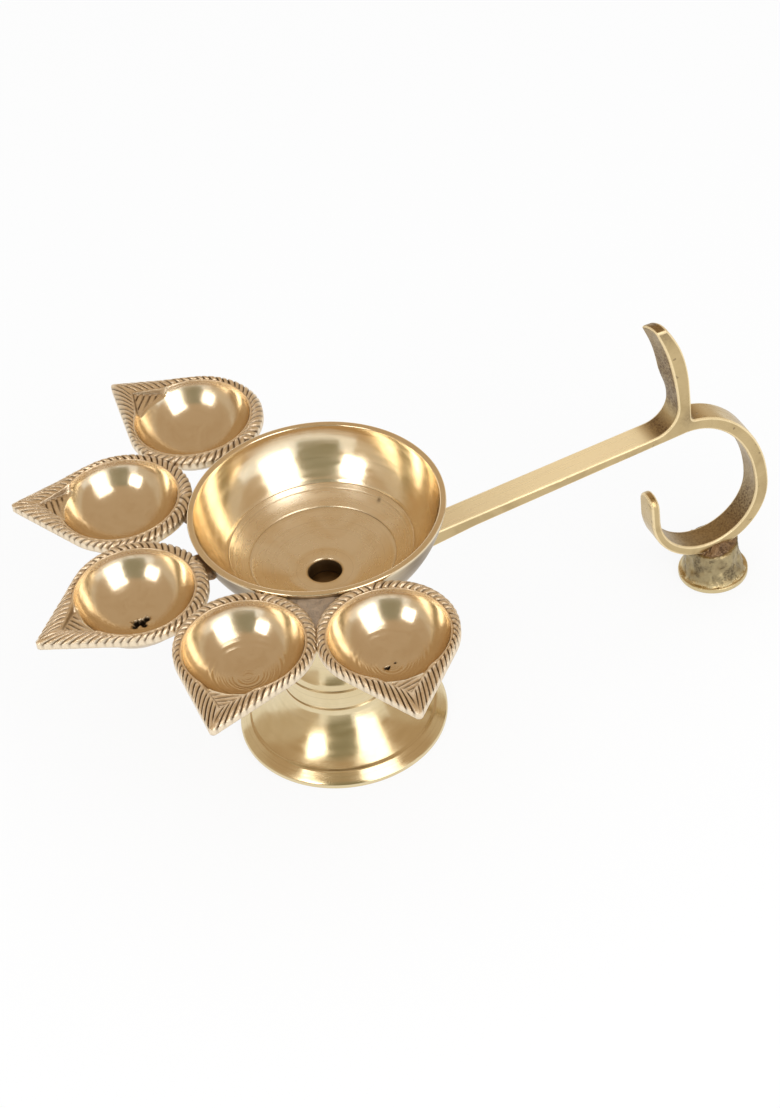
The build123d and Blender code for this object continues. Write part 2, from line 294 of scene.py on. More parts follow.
def finish_piece(mesh: BMesh, name: str, material: Material, sharp: float = 35.0,
                 node: str | None = None) -> Object:
    """Makes a mesh in millimetres into a piece that rides on the lamp.

    Args:
        mesh: Finished mesh, which is freed.
        name: Name of the piece.
        material: Finish of the piece.
        sharp: Edges that turn by more than this many degrees stay sharp.
        node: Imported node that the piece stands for.

    Returns:
        The piece.
    """
    bmesh.ops.scale(mesh, vec=(MM, MM, MM), verts=mesh.verts[:])
    data = mesh_data(mesh, name)
    data.shade_smooth()
    data.set_sharp_from_angle(angle=radians(sharp))
    data.materials.append(material)
    piece = put_in_scene(name, data)
    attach(piece, BODY)
    if node is not None:
        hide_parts(node)
    LOG.info("%s: %d faces", name, len(data.polygons))
    return piece


class Recipe:
    """Node tree of one finish, which ends in a Principled shader."""

    def __init__(self, name: str, metallic: float = 1.0) -> None:
        """Starts the tree.

        Args:
            name: Name of the material.
            metallic: Metallic value of the shader.
        """
        self.material = bpy.data.materials.new(name)
        self.tree = empty_tree(self.material)
        self.shader = self.node("ShaderNodeBsdfPrincipled")
        self.shader.inputs["Metallic"].default_value = metallic
        output = self.node("ShaderNodeOutputMaterial")
        self.join(self.shader.outputs["BSDF"], output.inputs["Surface"])
        self.place = self.node("ShaderNodeTexCoord").outputs["Object"]

    def node(self, kind: str, **settings: str) -> Node:
        """Adds a node.

        Args:
            kind: Blender's type name of the node.
            settings: Properties of the node.

        Returns:
            The node.
        """
        made = self.tree.nodes.new(kind)
        for key, value in settings.items():
            setattr(made, key, value)
        return made

    def join(self, source: NodeSocket, target: NodeSocket) -> None:
        """Links two sockets."""
        self.tree.links.new(source, target)

    def feed(self, target: NodeSocket, value: NodeSocket | float | Colour) -> None:
        """Links a socket, or sets it where the value is plain."""
        if isinstance(value, NodeSocket):
            self.join(value, target)
        elif isinstance(value, tuple):
            target.default_value = (*value, 1.0)
        else:
            target.default_value = value

    def mark(self, mark: Mark) -> NodeSocket:
        """Socket with one of the mesh's own attributes."""
        return self.node("ShaderNodeAttribute", attribute_name=mark.value).outputs["Fac"]

    def speckle(self, size: float, detail: float = 3.0, roughness: float = 0.55, warp: float = 0.0) -> NodeSocket:
        """Noise over the piece.

        Args:
            size: Size of the patches in millimetres.
            detail: Octaves of finer noise.
            roughness: Weight of the finer noise.
            warp: Distortion of the patches.

        Returns:
            Socket with values about 0.5.
        """
        made = self.node("ShaderNodeTexNoise")
        self.join(self.place, made.inputs["Vector"])
        made.inputs["Scale"].default_value = 1.0 / (size * MM)
        made.inputs["Detail"].default_value = detail
        made.inputs["Roughness"].default_value = roughness
        made.inputs["Distortion"].default_value = warp
        return made.outputs["Fac"]

    def strokes(self, size: tuple[float, float, float], detail: float = 4.0) -> NodeSocket:
        """Noise that is drawn out along the axes.

        Args:
            size: Length of the strokes along X, Y and Z in millimetres.
            detail: Octaves of finer noise.

        Returns:
            Socket with values about 0.5.
        """
        stretch = self.node("ShaderNodeMapping")
        self.join(self.place, stretch.inputs["Vector"])
        stretch.inputs["Scale"].default_value = [1.0 / (length * MM) for length in size]
        made = self.node("ShaderNodeTexNoise")
        self.join(stretch.outputs["Vector"], made.inputs["Vector"])
        made.inputs["Scale"].default_value = 1.0
        made.inputs["Detail"].default_value = detail
        return made.outputs["Fac"]

    def rings(self, where: NodeSocket, pitch: float, detail: float = 2.0) -> NodeSocket:
        """Uneven bands along one value.

        Args:
            where: Socket that runs across the bands.
            pitch: Width of a band in the value's unit.
            detail: Octaves of finer bands.

        Returns:
            Socket with values about 0.5.
        """
        made = self.node("ShaderNodeTexNoise", noise_dimensions="1D")
        self.join(where, made.inputs["W"])
        made.inputs["Scale"].default_value = 1.0 / pitch
        made.inputs["Detail"].default_value = detail
        return made.outputs["Fac"]

    def sum(self, first: NodeSocket, second: NodeSocket | float, kind: str = "ADD") -> NodeSocket:
        """Joins two values by a math operation.

        Args:
            first: First value.
            second: Second value.
            kind: Blender's name of the operation.

        Returns:
            Socket with the result.
        """
        made = self.node("ShaderNodeMath", operation=kind)
        self.join(first, made.inputs[0])
        self.feed(made.inputs[1], second)
        return made.outputs["Value"]

    def span(self, value: NodeSocket, low: float, high: float, start: float, end: float) -> NodeSocket:
        """Eases one range of a value on to another.

        Args:
            value: Value to read.
            low: Value that gives start.
            high: Value that gives end.
            start: Result at low and below.
            end: Result at high and above.

        Returns:
            Socket with the result.
        """
        made = self.node("ShaderNodeMapRange", interpolation_type="SMOOTHSTEP")
        self.join(value, made.inputs["Value"])
        for name, number in (("From Min", low), ("From Max", high), ("To Min", start), ("To Max", end)):
            made.inputs[name].default_value = number
        return made.outputs["Result"]

    def tint(self, share: NodeSocket, first: NodeSocket | Colour, second: NodeSocket | Colour) -> NodeSocket:
        """Mixes two colours.

        Args:
            share: Share of the second colour.
            first: Colour at 0.
            second: Colour at 1.

        Returns:
            Socket with the mixed colour.
        """
        made = self.node("ShaderNodeMix", data_type="RGBA")
        self.join(share, made.inputs[0])
        self.feed(made.inputs[6], first)
        self.feed(made.inputs[7], second)
        return made.outputs[2]

    def relief(self, height: NodeSocket, depth: float, below: NodeSocket | None = None) -> NodeSocket:
        """Bump map.

        Args:
            height: Height from 0 to 1.
            depth: Depth that the height stands for, in millimetres.
            below: Normal of a coarser relief.

        Returns:
            Socket with the normal.
        """
        made = self.node("ShaderNodeBump")
        made.inputs["Strength"].default_value = 1.0
        made.inputs["Distance"].default_value = depth * MM
        self.join(height, made.inputs["Height"])
        if below is not None:
            self.join(below, made.inputs["Normal"])
        return made.outputs["Normal"]

    def wear(self, colour: NodeSocket, roughness: NodeSocket, normal: NodeSocket) -> Material:
        """Feeds the shader and returns the material.

        Args:
            colour: Base colour.
            roughness: Roughness.
            normal: Normal.

        Returns:
            The material.
        """
        self.join(colour, self.shader.inputs["Base Color"])
        self.join(roughness, self.shader.inputs["Roughness"])
        self.join(normal, self.shader.inputs["Normal"])
        return self.material


@dataclass(frozen=True)
class TurnedBrass:
    """Brass turned on a lathe and polished, with tool marks round the Z axis."""

    name: str
    colour: Colour
    warm: Colour
    dirt_and_shade: Colour
    satin: Colour
    roughness: tuple[float, float]
    satin_roughness: float
    satin_radius: tuple[float, float]
    climb: float
    mark_depth: float

    def material(self) -> Material:
        """Builds the finish."""
        recipe = Recipe(self.name)
        flat = recipe.node("ShaderNodeVectorMath", operation="MULTIPLY")
        recipe.join(recipe.place, flat.inputs[0])
        flat.inputs[1].default_value = (1.0, 1.0, 0.0)
        reach = recipe.node("ShaderNodeVectorMath", operation="LENGTH")
        recipe.join(flat.outputs["Vector"], reach.inputs[0])
        radius = reach.outputs["Value"]
        height = recipe.node("ShaderNodeSeparateXYZ")
        recipe.join(recipe.place, height.inputs["Vector"])
        along = recipe.sum(radius, recipe.sum(height.outputs["Z"], self.climb, "MULTIPLY"))

        low, high = self.satin_radius
        polish = recipe.span(radius, low * MM, high * MM, 0.0, 1.0)
        cloud = recipe.speckle(14.0, 4.0, 0.6, 0.6)
        smear = recipe.strokes((9.0, 9.0, 1.6))
        fine = recipe.rings(along, 0.35 * MM, 3.0)
        coarse = recipe.rings(along, 2.6 * MM, 1.0)

        colour = recipe.tint(polish, self.satin, self.colour)
        colour = recipe.tint(recipe.span(cloud, 0.4, 0.75, 0.0, 0.7), colour, self.warm)
        colour = recipe.tint(recipe.span(fine, 0.6, 0.8, 0.0, 0.25), colour, self.dirt_and_shade)
        # The crevice mark darkens scribed lines, grooves and a nick, and carries painted shade down the bore and,
        # with grime, on the dish's outside under the lip.
        colour = recipe.tint(recipe.mark(Mark.CREVICE), colour, self.dirt_and_shade)

        gloss = recipe.span(smear, 0.3, 0.7, *self.roughness)
        dull = recipe.sum(recipe.span(radius, low * MM, high * MM, self.satin_roughness, 0.0), gloss)
        roughness = recipe.sum(dull, recipe.sum(recipe.mark(Mark.CREVICE), 0.3, "MULTIPLY"))
        normal = recipe.relief(coarse, self.mark_depth)
        normal = recipe.relief(fine, 0.25 * self.mark_depth, normal)
        return recipe.wear(colour, roughness, normal)


@dataclass(frozen=True)
class LeafBrass:
    """Brass of the leaf cups: a turned and polished hollow inside a satin, hand-milled border."""

    name: str
    hollow: Colour
    warm: Colour
    border: Colour
    pale: Colour
    crevice: Colour
    soot_and_shade: Colour
    hollow_roughness: tuple[float, float]
    border_roughness: tuple[float, float]
    mark_depth: float
    groove_depth: float

    def material(self) -> Material:
        """Builds the finish."""
        recipe = Recipe(self.name)
        border = recipe.mark(Mark.BORDER)
        black = recipe.mark(Mark.GRIME_AND_SHADE)
        crevice = recipe.mark(Mark.CREVICE)
        radius = recipe.mark(Mark.RADIUS)
        cloud = recipe.speckle(7.0, 4.0, 0.6, 0.8)
        grain = recipe.speckle(0.5, 3.0)
        fine = recipe.rings(radius, 0.3, 3.0)
        coarse = recipe.rings(radius, 1.6, 1.0)

        hollow = recipe.tint(recipe.span(cloud, 0.4, 0.7, 0.0, 0.8), self.hollow, self.warm)
        outer = recipe.tint(recipe.span(grain, 0.35, 0.7, 0.0, 0.8), self.border, self.pale)
        colour = recipe.tint(border, hollow, outer)
        # The crevice mark darkens the milled cuts and the hatching, and paints shade on the cup's underside.
        colour = recipe.tint(crevice, colour, self.crevice)
        colour = recipe.tint(black, colour, self.soot_and_shade)

        gloss = recipe.span(cloud, 0.35, 0.7, *self.hollow_roughness)
        satin = recipe.span(grain, 0.3, 0.7, *self.border_roughness)
        kept = recipe.sum(gloss, recipe.span(border, 0.0, 1.0, 1.0, 0.0), "MULTIPLY")
        roughness = recipe.sum(kept, recipe.sum(satin, border, "MULTIPLY"))
        roughness = recipe.sum(roughness, recipe.sum(black, 0.4, "MULTIPLY"))
        grooves = recipe.sum(recipe.rings(radius, 0.8, 0.0), recipe.mark(Mark.WORN), "MULTIPLY")
        normal = recipe.relief(coarse, self.mark_depth, recipe.relief(grooves, self.groove_depth))
        normal = recipe.relief(fine, 0.3 * self.mark_depth, normal)
        scuff = recipe.sum(grain, border, "MULTIPLY")
        normal = recipe.relief(scuff, 0.12, normal)
        return recipe.wear(colour, roughness, normal)


@dataclass(frozen=True)
class CastBrass:
    """Cast brass, filed smooth: bright on worn edges and on painted highlights, and brown with grime and painted
    shade where it isn't rubbed.
    """

    name: str
    colour: Colour
    warm: Colour
    worn: Colour
    grime_and_shade: Colour
    roughness: tuple[float, float]
    pit_depth: float
    rubbed_metallic: float = 1.0

    def material(self) -> Material:
        """Builds the finish."""
        recipe = Recipe(self.name)
        worn = recipe.mark(Mark.WORN)
        grime_and_shade = recipe.mark(Mark.GRIME_AND_SHADE)
        cloud = recipe.speckle(11.0, 5.0, 0.62, 0.6)
        grain = recipe.speckle(0.7, 4.0, 0.6)
        file_marks = recipe.strokes((16.0, 1.2, 6.0))
        pores = recipe.span(recipe.speckle(2.2, 2.0, 0.5), 0.66, 0.74, 0.0, 1.0)

        colour = recipe.tint(recipe.span(cloud, 0.4, 0.72, 0.0, 0.85), self.colour, self.warm)
        # Grime, and on the handle painted shade, where the mesh marks them, broken up by grain.
        grimy_and_shaded = recipe.sum(grime_and_shade, recipe.span(grain, 0.3, 0.75, 0.45, 1.0), "MULTIPLY")
        colour = recipe.tint(grimy_and_shaded, colour, self.grime_and_shade)
        colour = recipe.tint(recipe.sum(pores, 0.5, "MULTIPLY"), colour, self.grime_and_shade)
        # Worn edges, and a painted highlight on faces that look up where the mesh marks it.
        colour = recipe.tint(recipe.sum(worn, 0.8, "MULTIPLY"), colour, self.worn)

        roughness = recipe.span(file_marks, 0.3, 0.7, *self.roughness)
        roughness = recipe.sum(roughness, recipe.sum(grimy_and_shaded, 0.22, "MULTIPLY"))
        normal = recipe.relief(cloud, 0.16)
        normal = recipe.relief(file_marks, 0.05, normal)
        recipe.join(recipe.span(worn, 0.0, 1.0, 1.0, self.rubbed_metallic), recipe.shader.inputs["Metallic"])
        pitted = recipe.sum(recipe.span(pores, 0.0, 1.0, 0.6, 0.0), recipe.sum(grain, 0.4, "MULTIPLY"))
        normal = recipe.relief(pitted, self.pit_depth, normal)
        return recipe.wear(colour, roughness, normal)


@dataclass(frozen=True)
class BrazeMetal:
    """Braze metal and flux left as it set: rough, brown and grey."""

    name: str
    colour: Colour
    dark: Colour
    pale: Colour
    flux: Colour
    flux_metallic: float
    roughness: tuple[float, float]

    def material(self) -> Material:
        """Builds the finish."""
        recipe = Recipe(self.name)
        fluxed = recipe.mark(Mark.WORN)
        blotch = recipe.speckle(3.0, 5.0, 0.65, 0.8)
        grain = recipe.speckle(0.6, 4.0, 0.6)
        colour = recipe.tint(recipe.span(blotch, 0.35, 0.6, 0.0, 1.0), self.dark, self.colour)
        colour = recipe.tint(recipe.span(grain, 0.52, 0.75, 0.0, 0.8), colour, self.pale)
        colour = recipe.tint(recipe.sum(fluxed, 0.55, "MULTIPLY"), colour, self.flux)
        recipe.join(recipe.span(fluxed, 0.0, 1.0, 1.0, self.flux_metallic), recipe.shader.inputs["Metallic"])
        roughness = recipe.span(blotch, 0.3, 0.7, *self.roughness)
        normal = recipe.relief(grain, 0.25, recipe.relief(blotch, 0.5))
        return recipe.wear(colour, roughness, normal)


@dataclass
class Bowl:
    """Round dish that the cups and the handle are brazed to."""

    seat_z: float = 55.0
    seat_radius: float = 13.5
    rim_z: float = 90.0
    rim_radius: float = 40.0
    lip: float = 2.0
    lip_round: float = 0.6
    outer_depth: float = 32.0
    inner_depth: float = 28.0
    flat_radius: float = 10.6
    bore_radius: float = 5.2
    bore_round: float = 1.1
    scribed: tuple[tuple[float, float], ...] = ((22.7, 1.0), (27.4, 0.3), (28.7, 0.55))
    scribe_depth: float = 0.12
    scribe_width: float = 0.4
    # Grime and painted shade on the dish's outside: darkest just under the lip, where the cups and the shadowed floor
    # are mirrored, and fading lower down.
    outside_grime_and_shade: float = 0.92
    grime_and_shade_fade: tuple[float, float] = (8.0, 26.0)
    grime_and_shade_low: float = 0.45
    nick: tuple[float, float, float] = (24.6, 11.2, 0.6)
    segments: int = 288

    def outside(self, z: float) -> float:
        """Radius of the dish's outside at a height."""
        ball = ball_radius(self.rim_radius, self.outer_depth)
        below = self.rim_z - self.outer_depth + ball - z
        return sqrt(max(0.0, ball**2 - below**2))

    def build(self, finish: Material) -> Object:
        """Turns the dish.

        Args:
            finish: Material of the dish.

        Returns:
            The piece.
        """
        inner_radius = self.rim_radius - self.lip
        inner_ball = ball_radius(inner_radius, self.inner_depth)
        outer_ball = ball_radius(self.rim_radius, self.outer_depth)
        inner_z = self.rim_z - self.inner_depth + inner_ball
        outer_z = self.rim_z - self.outer_depth + outer_ball
        floor_z = inner_z - sqrt(inner_ball**2 - self.flat_radius**2)

        mesh = bmesh.new()
        pen = Pen(mesh, self.bore_radius, self.seat_z)
        pen.line(self.bore_radius, floor_z - self.bore_round, 4)
        pen.arc(self.bore_radius + self.bore_round, floor_z - self.bore_round, -90.0, 6)
        pen.line(self.flat_radius, floor_z, 5)
        angle = degrees(asin(self.flat_radius / inner_ball))
        for radius, strength in self.scribed:
            start = degrees(asin((radius - self.scribe_width / 2) / inner_ball))
            pen.arc(0.0, inner_z, start - angle, 12)
            pen.scribe(self.scribe_depth * strength, self.scribe_width)
            angle = degrees(atan2(pen.tip.co.x, inner_z - pen.tip.co.z))
        rim_angle = degrees(acos((inner_z - self.rim_z + self.lip_round) / inner_ball))
        pen.arc(0.0, inner_z, rim_angle - angle, 16)
        pen.bend(pen.tip.co.x + self.lip_round, self.rim_z, 5, arrive=(1.0, 0.0))
        outer_angle = acos((outer_z - self.rim_z + self.lip_round) / outer_ball)
        edge_x = outer_ball * sin(outer_angle)
        pen.line(edge_x - self.lip_round, self.rim_z)
        pen.bend(edge_x, self.rim_z - self.lip_round, 5)
        seat_angle = asin(self.seat_radius / outer_ball)
        pen.arc(0.0, outer_z, degrees(seat_angle - outer_angle), 36)
        pen.line(self.seat_radius, self.seat_z, 3)
        pen.line(self.bore_radius, self.seat_z, 4)
        lathe(mesh, self.segments)

        crevice = mesh.verts.layers.float.new(Mark.CREVICE.value)
        for vert in mesh.verts:
            radius = hypot(vert.co.x, vert.co.y)
            deeper = hypot(radius, vert.co.z - inner_z) - inner_ball
            if radius < self.bore_radius + self.bore_round:
                # Painted shade: darker with depth down the bore.
                vert[crevice] = ease(floor_z - 0.2, floor_z - 1.4, vert.co.z)
            elif deeper > 1.0:
                # Outside wall: grime with painted shade, strongest just under the lip.
                patch = 0.85 + 0.4 * noise.noise(0.09 * vert.co)
                fade = mix(1.0, self.grime_and_shade_low, ease(*(self.rim_z - drop for drop in self.grime_and_shade_fade), vert.co.z))
                below_lip = ease(self.rim_z - 0.2, self.rim_z - 2.0, vert.co.z)
                vert[crevice] = min(1.0, self.outside_grime_and_shade * patch * fade * below_lip)
            else:
                uneven = 0.55 + 0.7 * noise.noise(Vector((0.06 * vert.co.x, 0.06 * vert.co.y, 2.0)))
                worn = 1.0 + 0.5 * vert.co.x / radius
                line = max(strength * ridge(radius, ring, 0.12) for ring, strength in self.scribed)
                nick = ridge(hypot(vert.co.x - self.nick[0], vert.co.y - self.nick[1]), 0.0, self.nick[2])
                vert[crevice] = min(1.0, max(0.6 * line * uneven * worn, nick))
        return finish_piece(mesh, "bowl_turned", finish, node="bowl")


@dataclass
class Pedestal:
    """Bell-shaped pedestal: a hollow casting, turned outside."""

    height: float = 55.0
    foot_radius: float = 33.4
    foot_edge: float = 1.6
    flange: tuple[float, float] = (29.6, 4.7)
    bell: tuple[float, float] = (23.4, 10.8)
    neck_foot: tuple[float, float] = (18.3, 18.4)
    neck_head: tuple[float, float] = (16.9, 28.6)
    waist: tuple[float, float] = (11.8, 45.0)
    seat_radius: float = 13.5
    wall: float = 3.0
    bore_radius: float = 5.2
    spot_radius: float = 11.1
    spot_z: float = 32.0
    groove_heights: tuple[float, ...] = (26.6, 20.0)
    groove_depth: float = 0.4
    groove_width: float = 0.9
    edge_round: float = 0.4
    segments: int = 288

    def build(self, finish: Material) -> Object:
        """Turns the pedestal.

        Args:
            finish: Material of the pedestal.

        Returns:
            The piece.
        """
        mesh = bmesh.new()
        pen = Pen(mesh, self.bore_radius, self.height)
        pen.line(self.seat_radius - self.edge_round, self.height, 3)
        pen.bend(self.seat_radius, self.height - self.edge_round, 3)
        pen.bend(*self.waist, 16, arrive=(0.0, -1.0))
        pen.bend(*self.neck_head, 22)
        slope = (self.neck_foot[0] - self.neck_head[0]) / (self.neck_head[1] - self.neck_foot[1])
        for height in self.groove_heights:
            top = height + self.groove_width / 2
            pen.line(self.neck_head[0] + slope * (self.neck_head[1] - top), top, 4)
            pen.scribe(self.groove_depth, self.groove_width)
        pen.line(*self.neck_foot, 3)
        pen.through(self.bell, self.flange, 28)
        pen.line(self.flange[0] + 0.35, self.flange[1] - 0.05)
        pen.line(self.foot_radius - 0.5, self.foot_edge + 0.35, 6)
        pen.bend(self.foot_radius, self.foot_edge - 0.3, 4)
        pen.line(self.foot_radius, self.edge_round, 2).bend(self.foot_radius - self.edge_round, 0.0, 3)
        pen.line(self.foot_radius - self.wall, 0.0, 2)
        for radius, height in (self.flange, self.bell, self.neck_foot, self.neck_head):
            pen.line(radius - self.wall, height, 4)
        pen.line(self.spot_radius, self.spot_z, 2).line(self.bore_radius, self.spot_z, 3)
        pen.line(self.bore_radius, self.height, 8)
        lathe(mesh, self.segments)

        crevice = mesh.verts.layers.float.new(Mark.CREVICE.value)
        for vert in mesh.verts:
            radius = hypot(vert.co.x, vert.co.y)
            line = self.neck_head[0] + slope * (self.neck_head[1] - vert.co.z)
            if any(abs(vert.co.z - height) < 0.2 for height in self.groove_heights):
                vert[crevice] = 0.5 if 0.0 < line - radius < 1.0 else 0.0
        return finish_piece(mesh, "pedestal_turned", finish, node="pedestal")


@dataclass(frozen=True)
class Pit:
    """Blow hole in a cup's hollow: place along X and Y from the hollow's middle, size and depth."""

    x: float
    y: float
    radius: float
    depth: float


@dataclass(frozen=True)
class LeafShape:
    """Outline and section that the five leaf cups share, with the hollow's middle at the origin and the tip on +X."""

    hollow_radius: float = 18.5
    hollow_depth: float = 13.5
    wall: float = 2.0
    border: float = 3.0
    thick: float = 3.2
    length: float = 34.8
    shift: float = 1.2
    tip_round: float = 1.2
    gutter_apex: float = 25.5
    gutter_spread: float = 26.0
    gutter_depth: float = 0.6
    gutter_slope: float = 12.0
    lip: float = 0.35
    stroke_pitch: float = 2.3
    stroke_slant: float = 2.9
    stroke_depth: float = 0.75
    hatch_pitch: float = 1.8
    hatch_depth: float = 0.45
    hatch_way: tuple[float, float] = (0.93, 0.37)
    gutter_edge: tuple[float, float] = (16.0, 27.0)
    crest: float = 0.45
    bead_height: float = 0.6
    bead_falls: tuple[float, float] = (0.8, 1.3)
    spine_width: float = 0.4
    spine_height: float = 0.15
    lip_width: float = 1.2

    def outer(self, angle: float) -> float:
        """Radius of the leaf's outline at an angle from its tip."""
        angle = abs(angle)
        radius = self.hollow_radius + self.border
        lean = asin(radius / (self.length + self.shift))
        side = atan2(radius * cos(lean), radius * sin(lean) - self.shift)
        if angle > side:
            return -self.shift * cos(angle) + sqrt(radius**2 - (self.shift * sin(angle)) ** 2)
        middle = self.length - self.tip_round / sin(lean)
        if angle < atan2(self.tip_round * cos(lean), middle + self.tip_round * sin(lean)):
            return middle * cos(angle) + sqrt(self.tip_round**2 - (middle * sin(angle)) ** 2)
        return (radius - self.shift * sin(lean)) / sin(angle + lean)

    def inner(self, angle: float) -> float:
        """Radius of the milled border's inner edge: round the hollow, and out along the gutter."""
        angle = abs(angle)
        edge = self.hollow_radius + self.lip
        spread = radians(self.gutter_spread)
        mouth_x = self.hollow_radius * cos(spread)
        mouth_y = self.hollow_radius * sin(spread)
        lean = atan2(mouth_y, self.gutter_apex - mouth_x)
        if angle + lean > 0.9 * pi:
            return edge
        kite = self.gutter_apex * sin(lean) / sin(angle + lean)
        if angle > 1.5 * spread:
            return edge
        return 0.5 * (edge + kite + sqrt((edge - kite) ** 2 + 0.5))

    def hollow_z(self, radius: float) -> float:
        """Height of the round hollow at a radius."""
        ball = ball_radius(self.hollow_radius, self.hollow_depth)
        reach = min(radius, self.hollow_radius)
        return ball - self.hollow_depth - sqrt(ball**2 - reach**2)

    def under_z(self, radius: float) -> float:
        """Height of the cup's round underside at a radius."""
        deep = self.hollow_depth + self.wall
        ball = ball_radius(self.hollow_radius + self.wall, deep)
        return ball - deep - sqrt(ball**2 - radius**2)

    def under_edge(self) -> float:
        """Radius where the round underside comes out of the border's flat back."""
        deep = self.hollow_depth + self.wall
        ball = ball_radius(self.hollow_radius + self.wall, deep)
        return sqrt(ball**2 - (ball - deep + self.thick) ** 2)


@dataclass(frozen=True)
class Column:
    """One spoke of a leaf: its angle, its run along the border from the tip, and the border's two edges."""

    angle: float
    run: float
    inner: float
    outer: float


@dataclass
class LeafCup:
    """One of the five leaf-shaped wick cups, with its lug to the bowl."""

    number: int
    bearing: float
    distance: float
    turn: float
    seams: tuple[float, ...]
    pits: tuple[Pit, ...] = ()
    marks: float = 0.15
    rim_z: float = 88.5
    tilt: float = 1.6
    under_shade: float = 0.35
    lug_drop: float = 0.7
    lug_thick: float = 2.4
    lug_width: float = 10.0
    shape: LeafShape = field(default_factory=LeafShape)
    spokes: int = 600
    hollow_rings: int = 34
    lip_rings: int = 26
    rope_rings: int = 14
    side_rings: int = 4
    under_rings: int = 18
    under_share: float = 0.8
    marks_fade: tuple[float, float] = (7.0, 13.0)

    def place(self) -> Matrix:
        """Where the cup sits on the bowl."""
        return (Matrix.Rotation(radians(self.bearing), 4, "Z") @ Matrix.Translation((self.distance, 0.0, self.rim_z))
                @ Matrix.Rotation(radians(self.turn), 4, "Z") @ Matrix.Rotation(radians(self.tilt), 4, "Y"))

    def columns(self) -> list[Column]:
        """Spokes at even steps along the middle of the border, from the tip round and back to it."""
        steps = 4000
        runs = [0.0]
        shape = self.shape
        last = Vector(((shape.outer(0.0) + shape.inner(0.0)) / 2, 0.0))
        for step in range(1, steps + 1):
            angle = pi * step / steps
            middle = (shape.outer(angle) + shape.inner(angle)) / 2
            here = Vector((middle * cos(angle), middle * sin(angle)))
            runs.append(runs[-1] + (here - last).length)
            last = here
        half = self.spokes // 2
        angles = []
        step = 0
        for spoke in range(half + 1):
            want = runs[-1] * spoke / half
            while step < steps - 1 and runs[step + 1] < want:
                step += 1
            angles.append(pi * (step + (want - runs[step]) / (runs[step + 1] - runs[step])) / steps)
        made = []
        for spoke in range(self.spokes):
            near = spoke if spoke <= half else self.spokes - spoke
            angle = angles[near] if spoke <= half else -angles[near]
            made.append(Column(angle, runs[-1] * near / half, shape.inner(angle), shape.outer(angle)))
        return made

    def rope(self, column: Column, share: float) -> tuple[float, float]:
        """Milled border across its width.

        Args:
            column: Spoke of the leaf.
            share: Way across the border, 0 at its inner edge.

        Returns:
            Height, and how deep in a stroke the place is, from 0 to 1.
        """
        shape = self.shape
        crest = shape.crest
        fall = (crest - share) / crest if share < crest else (share - crest) / (1.0 - crest)
        bead = shape.bead_height - shape.bead_falls[share >= crest] * fall**2
        side = 1.0 if column.angle >= 0.0 else -1.0
        hand = noise.noise(Vector((0.3 * column.run, 7.0 * side, 3.1 * self.number)))
        phase = (column.run + shape.stroke_slant * share) / shape.stroke_pitch + 0.16 * hand
        stroke = floor(phase)
        force = 0.8 + 0.35 * noise.noise(Vector((1.37 * stroke, 2.0 * side, 5.3 * self.number)))
        cut = ease(0.5, 0.95, abs(2.0 * (phase - stroke) - 1.0))
        across = abs(column.angle) * mix(column.inner, column.outer, share)
        spine = ridge(across, 0.0, shape.spine_width)
        cut *= ease(0.0, 0.14, share) * (1.0 - spine)
        return bead - shape.stroke_depth * force * cut + shape.spine_height * spine, cut

    def gutter(self, column: Column, radius: float) -> tuple[float, float]:
        """Inside of the border: the hollow, its lip, and the gutter that slopes into it from the tip.

        Args:
            column: Spoke of the leaf.
            radius: Distance from the hollow's middle.

        Returns:
            Height, and how deep in a stroke the place is, from 0 to 1.
        """
        shape = self.shape
        hollow = shape.hollow_z(radius)
        along = radius * cos(column.angle)
        across = radius * sin(column.angle)
        slope = -shape.gutter_depth - (shape.gutter_apex - along) * tan(radians(shape.gutter_slope))
        inside = 1.0 - ease(*(radians(edge) for edge in shape.gutter_edge), abs(column.angle))
        hollow -= 0.25 * inside * ease(shape.hollow_radius, shape.hollow_radius + 1.0, radius)
        low = 1.0 - ease(column.inner - 0.8, column.inner - 0.1, radius)
        height = hollow + (min(hollow, slope) - hollow) * inside * low
        phase = (shape.hatch_way[0] * along + shape.hatch_way[1] * across) / shape.hatch_pitch
        cut = ease(0.5, 1.0, abs(2.0 * (phase - floor(phase)) - 1.0))
        cut *= inside * (1.0 - ease(column.inner - 1.5, column.inner - 0.7, radius))
        cut *= ease(shape.hollow_radius - 0.4, shape.hollow_radius + 0.8, radius)
        height += 0.22 * ridge(radius, column.inner - 0.2, 0.25) * (1.0 - inside) - shape.hatch_depth * cut
        return height, max(cut, 0.7 * inside * ridge(radius, column.inner - 0.6, 0.4))

